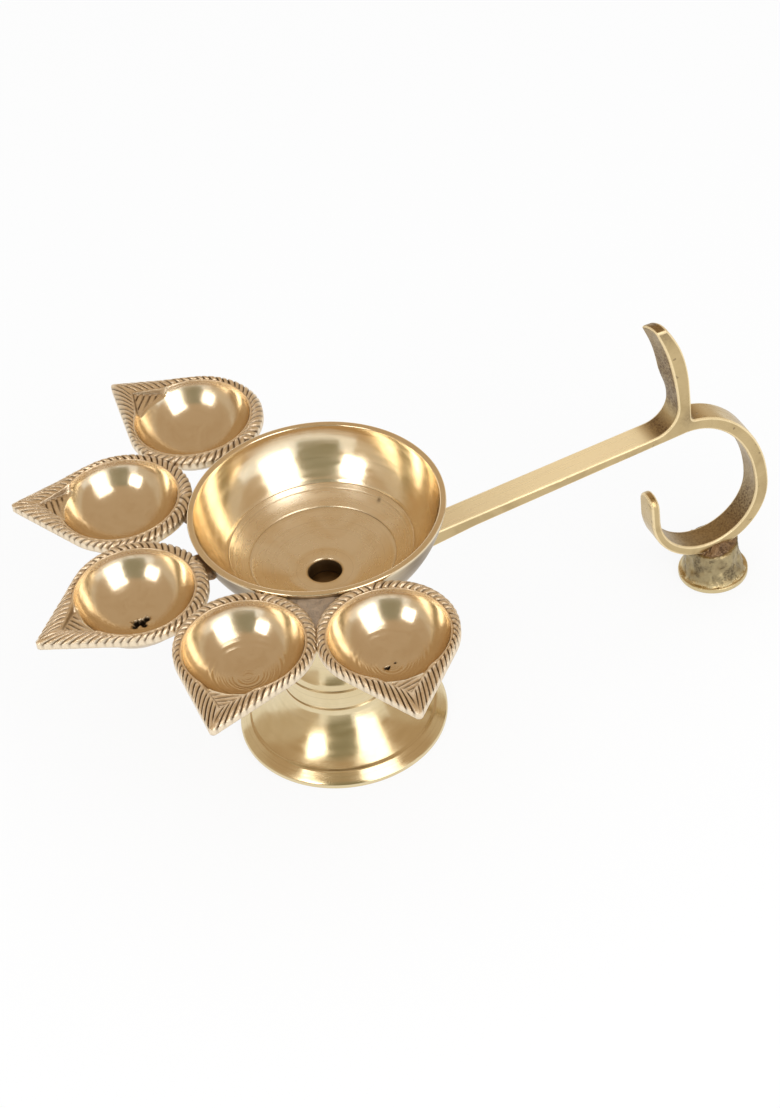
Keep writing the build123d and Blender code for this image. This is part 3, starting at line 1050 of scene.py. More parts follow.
    def build(self, bowl: Bowl, finish: Material) -> Object:
        """Wraps a grid into the leaf, ring by ring from the hollow's middle over the border and back underneath.

        Args:
            bowl: Bowl that the cup sits against.
            finish: Material of the cup.

        Returns:
            The piece.
        """
        shape = self.shape
        lip_ring = self.hollow_rings + self.lip_rings
        rope_ring = lip_ring + self.rope_rings
        side_ring = rope_ring + self.side_rings
        rings = side_ring + self.under_rings
        mesh = bmesh.new()
        bmesh.ops.create_grid(mesh, x_segments=self.spokes, y_segments=rings, size=0.5)
        crevice = mesh.verts.layers.float.new(Mark.CREVICE.value)
        border = mesh.verts.layers.float.new(Mark.BORDER.value)
        ring_mark = mesh.verts.layers.float.new(Mark.RADIUS.value)
        black = mesh.verts.layers.float.new(Mark.GRIME_AND_SHADE.value)
        turned = mesh.verts.layers.float.new(Mark.WORN.value)
        columns = self.columns()
        place = self.place()
        middle = place.translation
        for vert in mesh.verts:
            ring = round((vert.co.y + 0.5) * rings)
            column = columns[round((vert.co.x + 0.5) * self.spokes) % self.spokes]
            cut = 0.0
            soot_and_shade = 0.0
            rim = 1.0
            if ring <= self.hollow_rings:
                share = ring / self.hollow_rings
                radius = (shape.hollow_radius - shape.lip_width) * (0.55 * share + 0.45 * share**2)
                height = shape.hollow_z(radius)
                rim = 0.0
            elif ring <= lip_ring:
                share = (ring - self.hollow_rings) / self.lip_rings
                radius = mix(shape.hollow_radius - shape.lip_width, column.inner, 1.0 - (1.0 - share) ** 1.5)
                height, cut = self.gutter(column, radius)
                rim = 0.95 * ease(shape.hollow_radius - 0.7, shape.hollow_radius + 0.1, radius)
            elif ring <= rope_ring:
                share = (ring - lip_ring) / self.rope_rings
                radius = mix(column.inner, column.outer, share)
                height, cut = self.rope(column, share)
                radius -= 0.3 * cut * ease(0.8, 1.0, share)
            elif ring < side_ring:
                share = (ring - rope_ring - 1) / (self.side_rings - 2)
                height, notch = self.rope(column, 1.0)
                height = mix(min(-0.9, height - 0.15), -shape.thick + 0.35, share)
                radius = column.outer - 0.22 * notch * (1.0 - share)
                cut = 0.5 * notch * (1.0 - share)
            else:
                share = (rings - ring) / self.under_rings
                flat = ease(self.under_share, 1.0, share)
                radius = mix(shape.under_edge(), column.outer - 0.4, flat)
                height = -shape.thick
                # Painted shade on the cup's underside.
                cut = self.under_shade
                if share < self.under_share:
                    radius = shape.under_edge() * share / self.under_share
                    height = shape.under_z(radius)
            point = Vector((radius * cos(column.angle), radius * sin(column.angle), height))
            if rim > 0.9:
                grain = noise.fractal(point / 1.6 + Vector((0.0, 0.0, 9.0 * self.number)), 0.8, 2.0, 3)
                point.z += 0.09 * grain
            vert.co = place @ point
            if rim == 0.0:
                for pit in self.pits:
                    gap = Vector((vert.co.x - middle.x - pit.x, vert.co.y - middle.y - pit.y))
                    ragged = 1.0 + 0.45 * noise.noise(Vector((1.6 * vert.co.x, 1.6 * vert.co.y, 4.0 * pit.x)))
                    hole = 1.0 - ease(0.55 * pit.radius, pit.radius, gap.length * ragged)
                    vert.co.z -= pit.depth * hole
                    soot_and_shade = max(soot_and_shade, hole)
            vert[crevice] = cut
            vert[black] = soot_and_shade
            vert[turned] = self.marks * (1.0 - ease(*self.marks_fade, radius)) if rim == 0.0 else 0.0
            vert[border] = rim
            vert[ring_mark] = radius if rim < 1.0 else 0.0
        bmesh.ops.remove_doubles(mesh, verts=mesh.verts[:], dist=1e-4)
        self.trim(mesh, bowl)
        bmesh.ops.recalc_face_normals(mesh, faces=mesh.faces[:])
        name = f"leaf_cup_{self.number}"
        return finish_piece(mesh, f"{name}_milled", finish, sharp=60.0, node=name)

    def trim(self, mesh: BMesh, bowl: Bowl) -> None:
        """Flattens the cup where it meets its neighbours and the bowl's wall.

        Args:
            mesh: Placed cup.
            bowl: Bowl that the cup sits against.
        """
        for seam in self.seams:
            normal = Vector((-sin(radians(seam)), cos(radians(seam)), 0.0))
            if seam > self.bearing:
                normal.negate()
            for vert in mesh.verts:
                beyond = vert.co.dot(normal)
                if beyond < 0.0:
                    vert.co -= normal * beyond
        for vert in mesh.verts:
            radius = hypot(vert.co.x, vert.co.y)
            wall = bowl.outside(vert.co.z)
            if radius < wall:
                vert.co.x *= wall / radius
                vert.co.y *= wall / radius

    def build_lug(self, bowl: Bowl, finish: Material) -> Object:
        """Makes the rough tab that joins the cup's back to the bowl.

        Args:
            bowl: Bowl that the lug is brazed to.
            finish: Material of the lug.

        Returns:
            The piece.
        """
        mesh = bmesh.new()
        bmesh.ops.create_cube(mesh, size=1.0)
        reach = self.distance - bowl.rim_radius - self.shape.hollow_radius - 0.6 * self.shape.border + 2.6
        bmesh.ops.scale(mesh, vec=(reach, self.lug_width, self.lug_thick), verts=mesh.verts[:])
        bmesh.ops.bevel(mesh, geom=mesh.edges[:], offset=0.6, segments=3, profile=0.5, affect="EDGES", material=-1)
        bmesh.ops.subdivide_edges(mesh, edges=mesh.edges[:], cuts=3, use_grid_fill=True)
        centre = (bowl.rim_radius - 1.2 + reach / 2, 0.0, self.rim_z - self.lug_drop - self.lug_thick / 2 - 0.3)
        seat = Matrix.Rotation(radians(self.bearing), 4, "Z") @ Matrix.Translation(centre)
        bmesh.ops.transform(mesh, matrix=seat, verts=mesh.verts[:])
        mesh.normal_update()
        roughen(mesh.verts[:], depth=0.35, grain=2.5, seed=3.0 * self.number)
        keep_outside(mesh, bowl, 0.3)
        return finish_piece(mesh, f"cup_lug_{self.number}", finish, sharp=70.0)


def keep_outside(mesh: BMesh, bowl: Bowl, sink: float) -> None:
    """Moves vertices that lie deep in the bowl's wall out towards its outside.

    Args:
        mesh: Placed mesh.
        bowl: Bowl that the mesh is joined to.
        sink: How far into the wall a vertex may lie.
    """
    for vert in mesh.verts:
        radius = hypot(vert.co.x, vert.co.y)
        wall = bowl.outside(vert.co.z) - sink
        if radius < wall:
            vert.co.x *= wall / max(radius, 1e-6)
            vert.co.y *= wall / max(radius, 1e-6)


def add_lump(mesh: BMesh, matrix: Matrix, detail: int = 4) -> list[BMVert]:
    """Adds a ball of braze metal, drawn out by a matrix.

    Args:
        mesh: Mesh to add to.
        matrix: Place, turn and half sizes of the lump.
        detail: Times that the ball is divided.

    Returns:
        Vertices of the lump.
    """
    return bmesh.ops.create_icosphere(mesh, subdivisions=detail, radius=1.0, matrix=matrix)["verts"]


@dataclass
class CupBraze:
    """Beads of braze under the cups' lugs, and the web that fills the gap between two cups and the bowl."""

    bearings: tuple[float, ...]
    web_bearing: float
    bead_z: float = 84.9
    bead_half: tuple[float, float, float] = (3.4, 5.2, 2.6)
    bead_out: float = 0.8
    web_z: float = 86.3
    web_reach: float = 43.0
    web_half: tuple[float, float, float] = (10.0, 11.5, 1.5)

    def add_web(self, mesh: BMesh) -> None:
        """Adds the web: a triangle with its base on the bowl's wall and its point between the cups."""
        seat = (Matrix.Rotation(radians(self.web_bearing), 4, "Z")
                @ Matrix.Translation((self.web_reach, 0.0, self.web_z))
                @ Matrix.Diagonal((*self.web_half, 1.0)) @ Matrix.Rotation(radians(-90.0), 4, "Z"))
        bmesh.ops.create_cone(mesh, cap_ends=True, cap_tris=False, segments=3, radius1=1.0, radius2=1.0, depth=2.0,
                              matrix=seat)
        bmesh.ops.bevel(mesh, geom=mesh.edges[:], offset=0.5, segments=2, profile=0.5, affect="EDGES", material=-1)
        bmesh.ops.triangulate(mesh, faces=mesh.faces[:])
        wide = [edge for edge in mesh.edges if edge.calc_length() > 1.2]
        bmesh.ops.subdivide_edges(mesh, edges=wide, cuts=15, use_grid_fill=True)

    def build(self, bowl: Bowl, finish: Material) -> Object:
        """Makes the beads and the web.

        Args:
            bowl: Bowl that they are joined to.
            finish: Material of the braze.

        Returns:
            The piece.
        """
        mesh = bmesh.new()
        fluxed = mesh.verts.layers.float.new(Mark.WORN.value)
        self.add_web(mesh)
        for vert in mesh.verts:
            vert[fluxed] = 1.0
        wall = bowl.outside(self.bead_z)
        for bearing in self.bearings:
            spin = Matrix.Rotation(radians(bearing), 4, "Z")
            seat = spin @ Matrix.Translation((wall + self.bead_out, 0.0, self.bead_z))
            add_lump(mesh, seat @ Matrix.Diagonal((*self.bead_half, 1.0)))
        bmesh.ops.recalc_face_normals(mesh, faces=mesh.faces[:])
        mesh.normal_update()
        roughen(mesh.verts[:], depth=0.6, grain=3.2, seed=4.0)
        keep_outside(mesh, bowl, 0.3)
        return finish_piece(mesh, "cup_braze_beads", finish, sharp=80.0, node="cup_braze")


@dataclass
class Handle:
    """Flat cast strip that splits into a thumb rest and a finger hook, with the collar of braze at its root."""

    width: float = 9.0
    edge_round: float = 0.8
    rim_radius: float = 40.0
    bar_top_z: float = 65.8
    slope: float = 3.3
    bar_thick: float = 4.3
    root_x: float = 13.0
    root_thick: float = 7.05
    root_end: float = 50.0
    hook_x: float = 131.6
    hook_z: float = 34.5
    hook_radius: float = 17.4
    hook_thick: float = 3.8
    hook_offset: float = 0.9
    hook_back: float = 6.6
    hook_tip: float = 9.0
    crown_under: float = 3.2
    crown_thick: float = 4.4
    crotch_round: float = 1.6
    thumb_x: float = 122.3
    thumb_bend: float = 9.0
    thumb_thick: float = 4.6
    thumb_rise: float = 41.2
    thumb_straight: float = 7.0
    thumb_lean: float = 5.9
    tip_thick: float = 4.0
    tip_width: float = 6.9
    thumb_twist: float = 2.0
    tip_slant: float = 0.5
    tip_curve: float = 1.2
    root_z: float = 61.0
    root_step: tuple[float, float] = (20.0, 64.2)
    root_top_x: float = 22.6
    cells_x: range = range(20, 154, 6)
    cells_y: tuple[float, ...] = (-3.5, -1.75, 0.0, 1.75, 3.5)
    cells_z: range = range(19, 110, 6)
    collar_place: tuple[float, float, float] = (20.6, 0.0, 61.6)
    collar_lean: float = -31.0
    collar_half: tuple[float, float, float] = (7.4, 6.1, 2.3)
    bend_grime_and_shade: tuple[float, float, float] = (116.5, 71.5, 4.0)
    crotch_grime_and_shade: tuple[float, float, float] = (127.6, 73.6, 2.2)
    thumb_inner_shade: tuple[float, float] = (72.0, 80.0)
    grime_tip: tuple[float, float] = (104.0, 109.0)
    rubbed_and_lit_to: tuple[float, float] = (108.0, 117.0)
    rubbed_and_lit_from: tuple[float, float] = (128.0, 134.0)

    def top(self, x: float) -> float:
        """Height of the bar's top face."""
        return self.bar_top_z + (x - self.rim_radius) * tan(radians(self.slope))

    def outline(self, mesh: BMesh) -> BMFace:
        """Draws the strip's side view and fills it.

        Args:
            mesh: Mesh to draw in.

        Returns:
            The filled face, in the XZ plane.
        """
        lean = radians(self.slope)
        bend_x = self.thumb_x - self.thumb_bend
        bend_z = self.top(bend_x) + self.thumb_bend / cos(lean)
        crown_x = self.hook_x - self.hook_back
        crown_z = self.top(crown_x) - self.crown_under
        outer_x = self.hook_x + self.hook_offset
        outer_radius = self.hook_radius + self.hook_thick
        outer_wide = outer_x + outer_radius - crown_x
        inner_high = crown_z - self.hook_z
        outer_high = inner_high + self.crown_thick
        back_x = self.thumb_x + self.thumb_thick
        share = (back_x + self.crotch_round - crown_x) / outer_wide
        crotch_z = self.hook_z + outer_high * sqrt(1.0 - share**2)
        tip_z = self.hook_z + self.hook_tip
        front_x = self.thumb_x - self.thumb_lean
        top_z = self.top(self.thumb_x) + self.thumb_rise

        pen = Pen(mesh, crown_x, crown_z)
        pen.line(self.root_end, self.top(self.root_end) - self.bar_thick, 12)
        pen.line(self.root_x, self.top(self.root_x) - self.root_thick, 4)
        pen.line(self.root_x, self.root_z).line(*self.root_step).line(self.root_top_x, self.top(self.root_top_x))
        pen.line(bend_x + self.thumb_bend * sin(lean), bend_z - self.thumb_bend * cos(lean), 14)
        pen.arc(bend_x, bend_z, 90.0 - self.slope, 18)
        pen.bend(front_x, top_z, 20)
        pen.line(front_x + self.tip_thick, top_z)
        pen.bend(back_x, bend_z + self.thumb_straight, 16, arrive=(0.0, -1.0))
        pen.line(back_x, crotch_z + self.crotch_round, 6).bend(back_x + self.crotch_round, crotch_z, 6)
        pen.ellipse(crown_x, self.hook_z, outer_wide, outer_high, -degrees(acos(share)), 30)
        pen.arc(outer_x, self.hook_z, -180.0, 44)
        pen.line(outer_x - outer_radius, tip_z).line(self.hook_x - self.hook_radius, tip_z)
        pen.line(self.hook_x - self.hook_radius, self.hook_z).arc(self.hook_x, self.hook_z, 180.0, 44)
        pen.ellipse(crown_x, self.hook_z, self.hook_radius + self.hook_back, inner_high, 90.0, 30)
        bmesh.ops.remove_doubles(mesh, verts=mesh.verts[:], dist=1e-3)
        return bmesh.ops.edgeloop_fill(mesh, edges=mesh.edges[:])["faces"][0]

    def build(self, finish: Material) -> Object:
        """Cuts the strip from its side view, rounds it and tapers the thumb rest.

        Args:
            finish: Material of the strip.

        Returns:
            The piece.
        """
        mesh = bmesh.new()
        worn = mesh.verts.layers.float.new(Mark.WORN.value)
        grime_and_shade = mesh.verts.layers.float.new(Mark.GRIME_AND_SHADE.value)
        half = self.width / 2
        face = self.outline(mesh)
        bmesh.ops.translate(mesh, vec=(0.0, -half, 0.0), verts=mesh.verts[:])
        grown = bmesh.ops.extrude_face_region(mesh, geom=[face])["geom"]
        far_side = [part for part in grown if isinstance(part, BMVert)]
        bmesh.ops.translate(mesh, vec=(0.0, self.width, 0.0), verts=far_side)
        bmesh.ops.recalc_face_normals(mesh, faces=mesh.faces[:])

        tip_z = self.hook_z + self.hook_tip
        ends = [edge for edge in mesh.edges
                if all(abs(vert.co.z - tip_z) < 0.01 and vert.co.x < self.hook_x for vert in edge.verts)
                and abs(edge.verts[0].co.y - edge.verts[1].co.y) < 0.01]
        bmesh.ops.bevel(mesh, geom=ends, offset=half - 0.4, segments=8, profile=0.5, affect="EDGES", material=-1)
        corners = [edge for edge in mesh.edges
                   if edge.is_manifold and edge.calc_face_angle() > radians(50.0)
                   and max(vert.co.x for vert in edge.verts) > self.root_x + 0.1]
        made = bmesh.ops.bevel(mesh, geom=corners, offset=self.edge_round, segments=4, profile=0.5, affect="EDGES",
                               material=-1)
        rounded = set(made["faces"])
        for vert in made["verts"]:
            if all(face in rounded for face in vert.link_faces):
                vert[worn] = 1.0
        self.slice(mesh)
        self.taper(mesh)

        mesh.normal_update()
        uneven = [vert for vert in mesh.verts if vert[worn] < 0.5 and vert.co.x > self.root_end]
        roughen(uneven, depth=0.14, grain=9.0, seed=2.0)
        # Grime and painted shade go on the grime mark; worn edges and a painted highlight on the bar's top go on the
        # worn mark.
        for vert in mesh.verts:
            vert[grime_and_shade] = self.soot_and_shade(vert)
            vert[worn] = max(0.8 * vert[worn], self.rub_and_highlight(vert))
        return finish_piece(mesh, "handle_cast", finish, sharp=25.0, node="handle")

    def slice(self, mesh: BMesh) -> None:
        """Cuts the strip into cells, so that its flat faces can be uneven."""
        cuts = [(Vector((0.0, y, 0.0)), Vector((0.0, 1.0, 0.0))) for y in self.cells_y]
        cuts += [(Vector((x, 0.0, 0.0)), Vector((1.0, 0.0, 0.0))) for x in self.cells_x]
        cuts += [(Vector((0.0, 0.0, z)), Vector((0.0, 0.0, 1.0))) for z in self.cells_z]
        for place, normal in cuts:
            everything = mesh.verts[:] + mesh.edges[:] + mesh.faces[:]
            bmesh.ops.bisect_plane(mesh, geom=everything, dist=1e-3, plane_co=place, plane_no=normal)

    def taper(self, mesh: BMesh) -> None:
        """Narrows the thumb rest towards its tip, and turns its far edge forwards as the casting has it."""
        low = self.top(self.thumb_x) + self.thumb_bend
        high = self.top(self.thumb_x) + self.thumb_rise
        for vert in mesh.verts:
            if vert.co.z > low:
                share = (vert.co.z - low) / (high - low)
                across = vert.co.y / self.width + 0.5
                vert.co.y *= mix(1.0, self.tip_width / self.width, share)
                vert.co.x -= self.thumb_twist * across * ease(0.0, 0.4, share)
                drop = self.tip_slant * across + self.tip_curve * (2.0 * across - 1.0) ** 2
                vert.co.z -= drop * ease(0.6, 1.0, share)

    def soot_and_shade(self, vert: BMVert) -> float:
        """Grime and painted shade on the strip at a vertex: painted shade on the inner faces of the thumb rest and
        the hook, in the bend and the crotch and on faces that look down, and grime on the thumb's tip.

        Args:
            vert: Vertex of the placed strip.

        Returns:
            Share of grime and painted shade from 0 to 1.
        """
        x, _, z = vert.co
        thumb = ease(*self.thumb_inner_shade, z) * ease(0.3, 0.8, -vert.normal.x) * (1.0 - 0.4 * ease(95.0, 110.0, z))
        bend_x, bend_z, bend_size = self.bend_grime_and_shade
        bend = ridge(hypot(x - bend_x, z - bend_z), 0.0, bend_size) * ease(0.2, 0.7, vert.normal.z)
        to_centre = Vector((self.hook_x - x, 0.0, self.hook_z - z))
        inside = ease(0.3, 0.9, vert.normal.dot(to_centre.normalized())) if x > 108.0 and z < 68.0 else 0.0
        inside *= 0.6 + 0.4 * ridge(degrees(atan2(z - self.hook_z, x - self.hook_x)), -35.0, 30.0)
        tip = 0.6 * ease(*self.grime_tip, z)
        crotch_x, crotch_z, crotch_size = self.crotch_grime_and_shade
        crotch = ridge(hypot(x - crotch_x, z - crotch_z), 0.0, crotch_size)
        under = 0.55 * ease(0.5, 0.9, -vert.normal.z) if z > 55.0 else 0.0
        return max(thumb, bend, inside, crotch, under, tip)

    def rub_and_highlight(self, vert: BMVert) -> float:
        """How bright the strip is at a vertex, rubbed and with a painted highlight on faces that look up: along the
        bar's top, and a little on top of the hook.

        Args:
            vert: Vertex of the placed strip.

        Returns:
            Share of rubbed metal and painted highlight from 0 to 1.
        """
        x, _, z = vert.co
        up = ease(0.6, 0.95, vert.normal.z)
        bar = up * (1.0 - ease(*self.rubbed_and_lit_to, x)) * ease(58.0, 62.0, z)
        crown = 0.35 * up * ease(*self.rubbed_and_lit_from, x) * ease(60.0, 66.0, z)
        return max(bar, crown)

    def build_collar(self, bowl: Bowl, finish: Material) -> Object:
        """Makes the collar of braze round the strip's root.

        Args:
            bowl: Bowl that the strip is joined to.
            finish: Material of the braze.

        Returns:
            The piece.
        """
        mesh = bmesh.new()
        seat = Matrix.Translation(self.collar_place) @ Matrix.Rotation(radians(self.collar_lean), 4, "Y")
        add_lump(mesh, seat @ Matrix.Diagonal((*self.collar_half, 1.0)), 5)
        mesh.normal_update()
        roughen(mesh.verts[:], depth=0.5, grain=3.0, seed=6.0)
        keep_outside(mesh, bowl, 0.3)
        return finish_piece(mesh, "handle_braze_collar", finish, sharp=80.0, node="handle_braze")


@dataclass
class HookFoot:
    """Turned button under the hook, with the braze that fixes it."""

    x: float = 134.5
    radius: float = 11.5
    edge: float = 2.0
    neck_radius: float = 8.7
    neck_z: float = 10.5
    top_z: float = 13.3
    bead_top: float = 4.8
    bead_height: float = 2.5
    segments: int = 160

    def build(self, finish: Material) -> Object:
        """Turns the button and leaves its casting skin uneven.

        Args:
            finish: Material of the button.

        Returns:
            The piece.
        """
        mesh = bmesh.new()
        pen = Pen(mesh, 0.0, 0.0).line(self.radius - 0.6, 0.0, 8)
        pen.bend(self.radius, 0.6, 4).line(self.radius, self.edge - 0.5, 3).bend(self.radius - 0.5, self.edge, 4)
        pen.line(self.radius - 0.9, self.edge + 0.25, 1)
        pen.bend(self.neck_radius, self.neck_z, 16, arrive=(0.0, 1.0))
        pen.line(self.neck_radius, self.top_z - 0.8, 4).bend(self.neck_radius - 0.8, self.top_z, 4)
        pen.line(0.0, self.top_z, 8)
        lathe(mesh, self.segments)
        grime_and_shade = mesh.verts.layers.float.new(Mark.GRIME_AND_SHADE.value)
        worn = mesh.verts.layers.float.new(Mark.WORN.value)
        mesh.normal_update()
        uneven = [vert for vert in mesh.verts if self.edge < vert.co.z < self.top_z - 0.1]
        roughen(uneven, depth=0.8, grain=5.0, seed=8.0)
        for vert in mesh.verts:
            neck = ease(self.edge, self.edge + 1.5, vert.co.z)
            blotch = ease(-0.1, 0.35, noise.fractal(vert.co / 6.0 + Vector((2.0, 5.0, 1.0)), 0.8, 2.0, 3))
            vert[grime_and_shade] = neck * (0.3 + 0.7 * blotch)
            vert[worn] = 1.0 - neck if vert.co.z > 0.3 else 0.0
        bmesh.ops.translate(mesh, vec=(self.x, 0.0, 0.0), verts=mesh.verts[:])
        return finish_piece(mesh, "hook_foot_turned", finish, sharp=50.0, node="hook_foot")

    def build_bead(self, finish: Material) -> Object:
        """Makes the braze between the button and the hook.

        Args:
            finish: Material of the braze.

        Returns:
            The piece.
        """
        mesh = bmesh.new()
        pen = Pen(mesh, 0.0, self.top_z - 0.3).line(self.neck_radius - 0.4, self.top_z - 0.3, 10)
        pen.line(self.bead_top, self.top_z + self.bead_height, 8).line(0.0, self.top_z + self.bead_height, 5)
        lathe(mesh, 96)
        mesh.normal_update()
        roughen([vert for vert in mesh.verts if vert.co.z > self.top_z], depth=0.45, grain=3.0, seed=11.0)
        bmesh.ops.translate(mesh, vec=(self.x, 0.0, 0.0), verts=mesh.verts[:])
        return finish_piece(mesh, "foot_braze_bead", finish, sharp=70.0, node="foot_braze")


@dataclass(frozen=True)
class Softbox:
    """Lamp of the studio: bearing from -Y towards +X, height, distance and size in metres, and power in watts."""

    name: str
    bearing: float
    height: float
    distance: float
    size: tuple[float, float]
    power: float


@dataclass(frozen=True)
class Card:
    """Card that only shows in reflections: bearing, height, distance, size in metres and its colour."""

    name: str
    bearing: float
    height: float
    distance: float
    size: tuple[float, float]
    colour: Colour


@dataclass
class Studio:
    """White floor, soft lamps, cards and the camera."""

    floor_half: float = 3.0
    floor_z: float = -0.00005
    floor_grey: float = 0.9
    floor_glow: float = 0.84
    sky: float = 0.85
    aim: tuple[float, float, float] = (0.0, 0.0, 0.07)
    softboxes: tuple[Softbox, ...] = (
        Softbox("softbox_right", 14.0, 33.0, 1.0, (0.57, 0.73), 3.4),
        Softbox("softbox_left", -63.5, 30.0, 1.0, (0.37, 0.32), 1.6),
    )
    cards: tuple[Card, ...] = (
        Card("card_front", -28.0, 27.0, 0.95, (0.66, 0.6), (0.31, 0.285, 0.2)),
        Card("ceiling", 0.0, 90.0, 1.2, (6.0, 6.0), (0.51, 0.38, 0.25)),
        Card("wall_left", -105.0, 12.0, 1.6, (3.0, 0.7), (0.62, 0.52, 0.4)),
        Card("wall_right", 95.0, 12.0, 1.6, (3.0, 0.7), (0.62, 0.52, 0.4)),
    )
    camera_back: tuple[float, float] = (-20.18, 42.26)
    camera_roll: float = 6.81
    camera_distance: float = 1.15
    camera_target: tuple[float, float, float] = (0.02568, 0.01003, 0.05)
    focal_pixels: float = 3635.8
    picture_height: float = 1108.0
    sensor: float = 36.0

    @staticmethod
    def towards(bearing: float, height: float) -> Vector:
        """Direction of a bearing from -Y towards +X and a height above the horizon, in degrees."""
        turn, rise = radians(bearing), radians(height)
        return Vector((sin(turn) * cos(rise), -cos(turn) * cos(rise), sin(rise)))

    def seat(self, bearing: float, height: float, distance: float) -> Matrix:
        """Place of a lamp or card that faces the lamp on the table.

        Args:
            bearing: Bearing in degrees.
            height: Height above the horizon in degrees.
            distance: Distance in metres.

        Returns:
            Matrix whose -Z points at the aim.
        """
        away = self.towards(bearing, height)
        facing = away.to_track_quat("Z", "Y").to_matrix().to_4x4()
        return Matrix.Translation(Vector(self.aim) + away * distance) @ facing

    @staticmethod
    def seen(tree: bpy.types.NodeTree) -> NodeSocket:
        """Adds a test for rays from the camera, a gloss or a clear body.

        Args:
            tree: Node tree to add to.

        Returns:
            Socket that is 1 for those rays.
        """
        path = tree.nodes.new("ShaderNodeLightPath")
        result = path.outputs["Is Camera Ray"]
        for name in ("Is Glossy Ray", "Is Transmission Ray"):
            either = tree.nodes.new("ShaderNodeMath")
            either.operation = "MAXIMUM"
            tree.links.new(result, either.inputs[0])
            tree.links.new(path.outputs[name], either.inputs[1])
            result = either.outputs["Value"]
        return result

    def light_world(self) -> None:
        """Sets the world: soft grey light, and white where it is seen."""
        world = bpy.data.worlds.new("studio_white")
        bpy.context.scene.world = world
        tree = empty_tree(world)
        either = tree.nodes.new("ShaderNodeMixShader")
        output = tree.nodes.new("ShaderNodeOutputWorld")
        tree.links.new(self.seen(tree), either.inputs["Fac"])
        for place, strength in ((1, self.sky), (2, 1.0)):
            white = tree.nodes.new("ShaderNodeBackground")
            white.inputs["Strength"].default_value = strength
            white.inputs["Color"].default_value = (1.0, 1.0, 1.0, 1.0)
            tree.links.new(white.outputs["Background"], either.inputs[place])
        tree.links.new(either.outputs["Shader"], output.inputs["Surface"])

    def lay_floor(self) -> None:
        """Lays the pale floor, which keeps a light shadow."""
        mesh = bmesh.new()
        bmesh.ops.create_grid(mesh, x_segments=8, y_segments=8, size=self.floor_half)
        bmesh.ops.translate(mesh, vec=(0.0, 0.0, self.floor_z), verts=mesh.verts[:])
        data = mesh_data(mesh, "floor")
        material = bpy.data.materials.new("pale_floor")
        tree = empty_tree(material)
        paint = tree.nodes.new("ShaderNodeBsdfDiffuse")
        paint.inputs["Color"].default_value = (self.floor_grey, self.floor_grey, self.floor_grey, 1.0)
        glow = tree.nodes.new("ShaderNodeEmission")
        share = tree.nodes.new("ShaderNodeMath")
        share.operation = "MULTIPLY"
        share.inputs[1].default_value = self.floor_glow
        either = tree.nodes.new("ShaderNodeMixShader")
        output = tree.nodes.new("ShaderNodeOutputMaterial")
        tree.links.new(self.seen(tree), share.inputs[0])
        tree.links.new(share.outputs["Value"], either.inputs["Fac"])
        tree.links.new(paint.outputs["BSDF"], either.inputs[1])
        tree.links.new(glow.outputs["Emission"], either.inputs[2])
        tree.links.new(either.outputs["Shader"], output.inputs["Surface"])
        data.materials.append(material)
        floor_piece = put_in_scene("floor", data)

    def hang_softboxes(self) -> None:
        """Hangs the lamps."""
        for box in self.softboxes:
            lamp = bpy.data.lights.new(box.name, "AREA")
            lamp.shape = "RECTANGLE"
            lamp.size, lamp.size_y = box.size
            lamp.energy = box.power
            put_in_scene(box.name, lamp).matrix_world = self.seat(box.bearing, box.height, box.distance)

    def stand_cards(self) -> None:
        """Stands the cards that the metal mirrors."""
        for card in self.cards:
            mesh = bmesh.new()
            bmesh.ops.create_grid(mesh, x_segments=1, y_segments=1, size=0.5)
            bmesh.ops.scale(mesh, vec=(*card.size, 1.0), verts=mesh.verts[:])
            seat = self.seat(card.bearing, card.height, card.distance)
            bmesh.ops.transform(mesh, matrix=seat, verts=mesh.verts[:])
            data = mesh_data(mesh, card.name)
            material = bpy.data.materials.new(card.name)
            tree = empty_tree(material)
            glow = tree.nodes.new("ShaderNodeEmission")
            glow.inputs["Color"].default_value = (*card.colour, 1.0)
            output = tree.nodes.new("ShaderNodeOutputMaterial")
            tree.links.new(glow.outputs["Emission"], output.inputs["Surface"])
            data.materials.append(material)
            stood = put_in_scene(card.name, data)
            stood.visible_camera = False
            stood.visible_diffuse = False
            stood.visible_shadow = False

    def set_camera(self) -> None:
        """Stands the camera where the photograph was taken from."""
        back = self.towards(*self.camera_back)
        right = Vector((0.0, 0.0, 1.0)).cross(back).normalized()
        up = back.cross(right)
        roll = radians(self.camera_roll)
        across = right * cos(roll) - up * sin(roll)
        upright = right * sin(roll) + up * cos(roll)
        place = Matrix((across, upright, back)).transposed().to_4x4()
        place.translation = Vector(self.camera_target) + back * self.camera_distance
        data = bpy.data.cameras.new("camera")
        data.sensor_fit = "VERTICAL"
        data.sensor_height = self.sensor
        data.lens = self.sensor * self.focal_pixels / self.picture_height
        data.clip_start = 0.05
        camera = put_in_scene("camera", data)
        camera.matrix_world = place
        bpy.context.scene.camera = camera

    def build(self) -> None:
        """Sets up the studio."""
        bpy.context.scene.view_settings.view_transform = "Standard"
        self.light_world()
        self.lay_floor()
        self.hang_softboxes()
        self.stand_cards()
        self.set_camera()


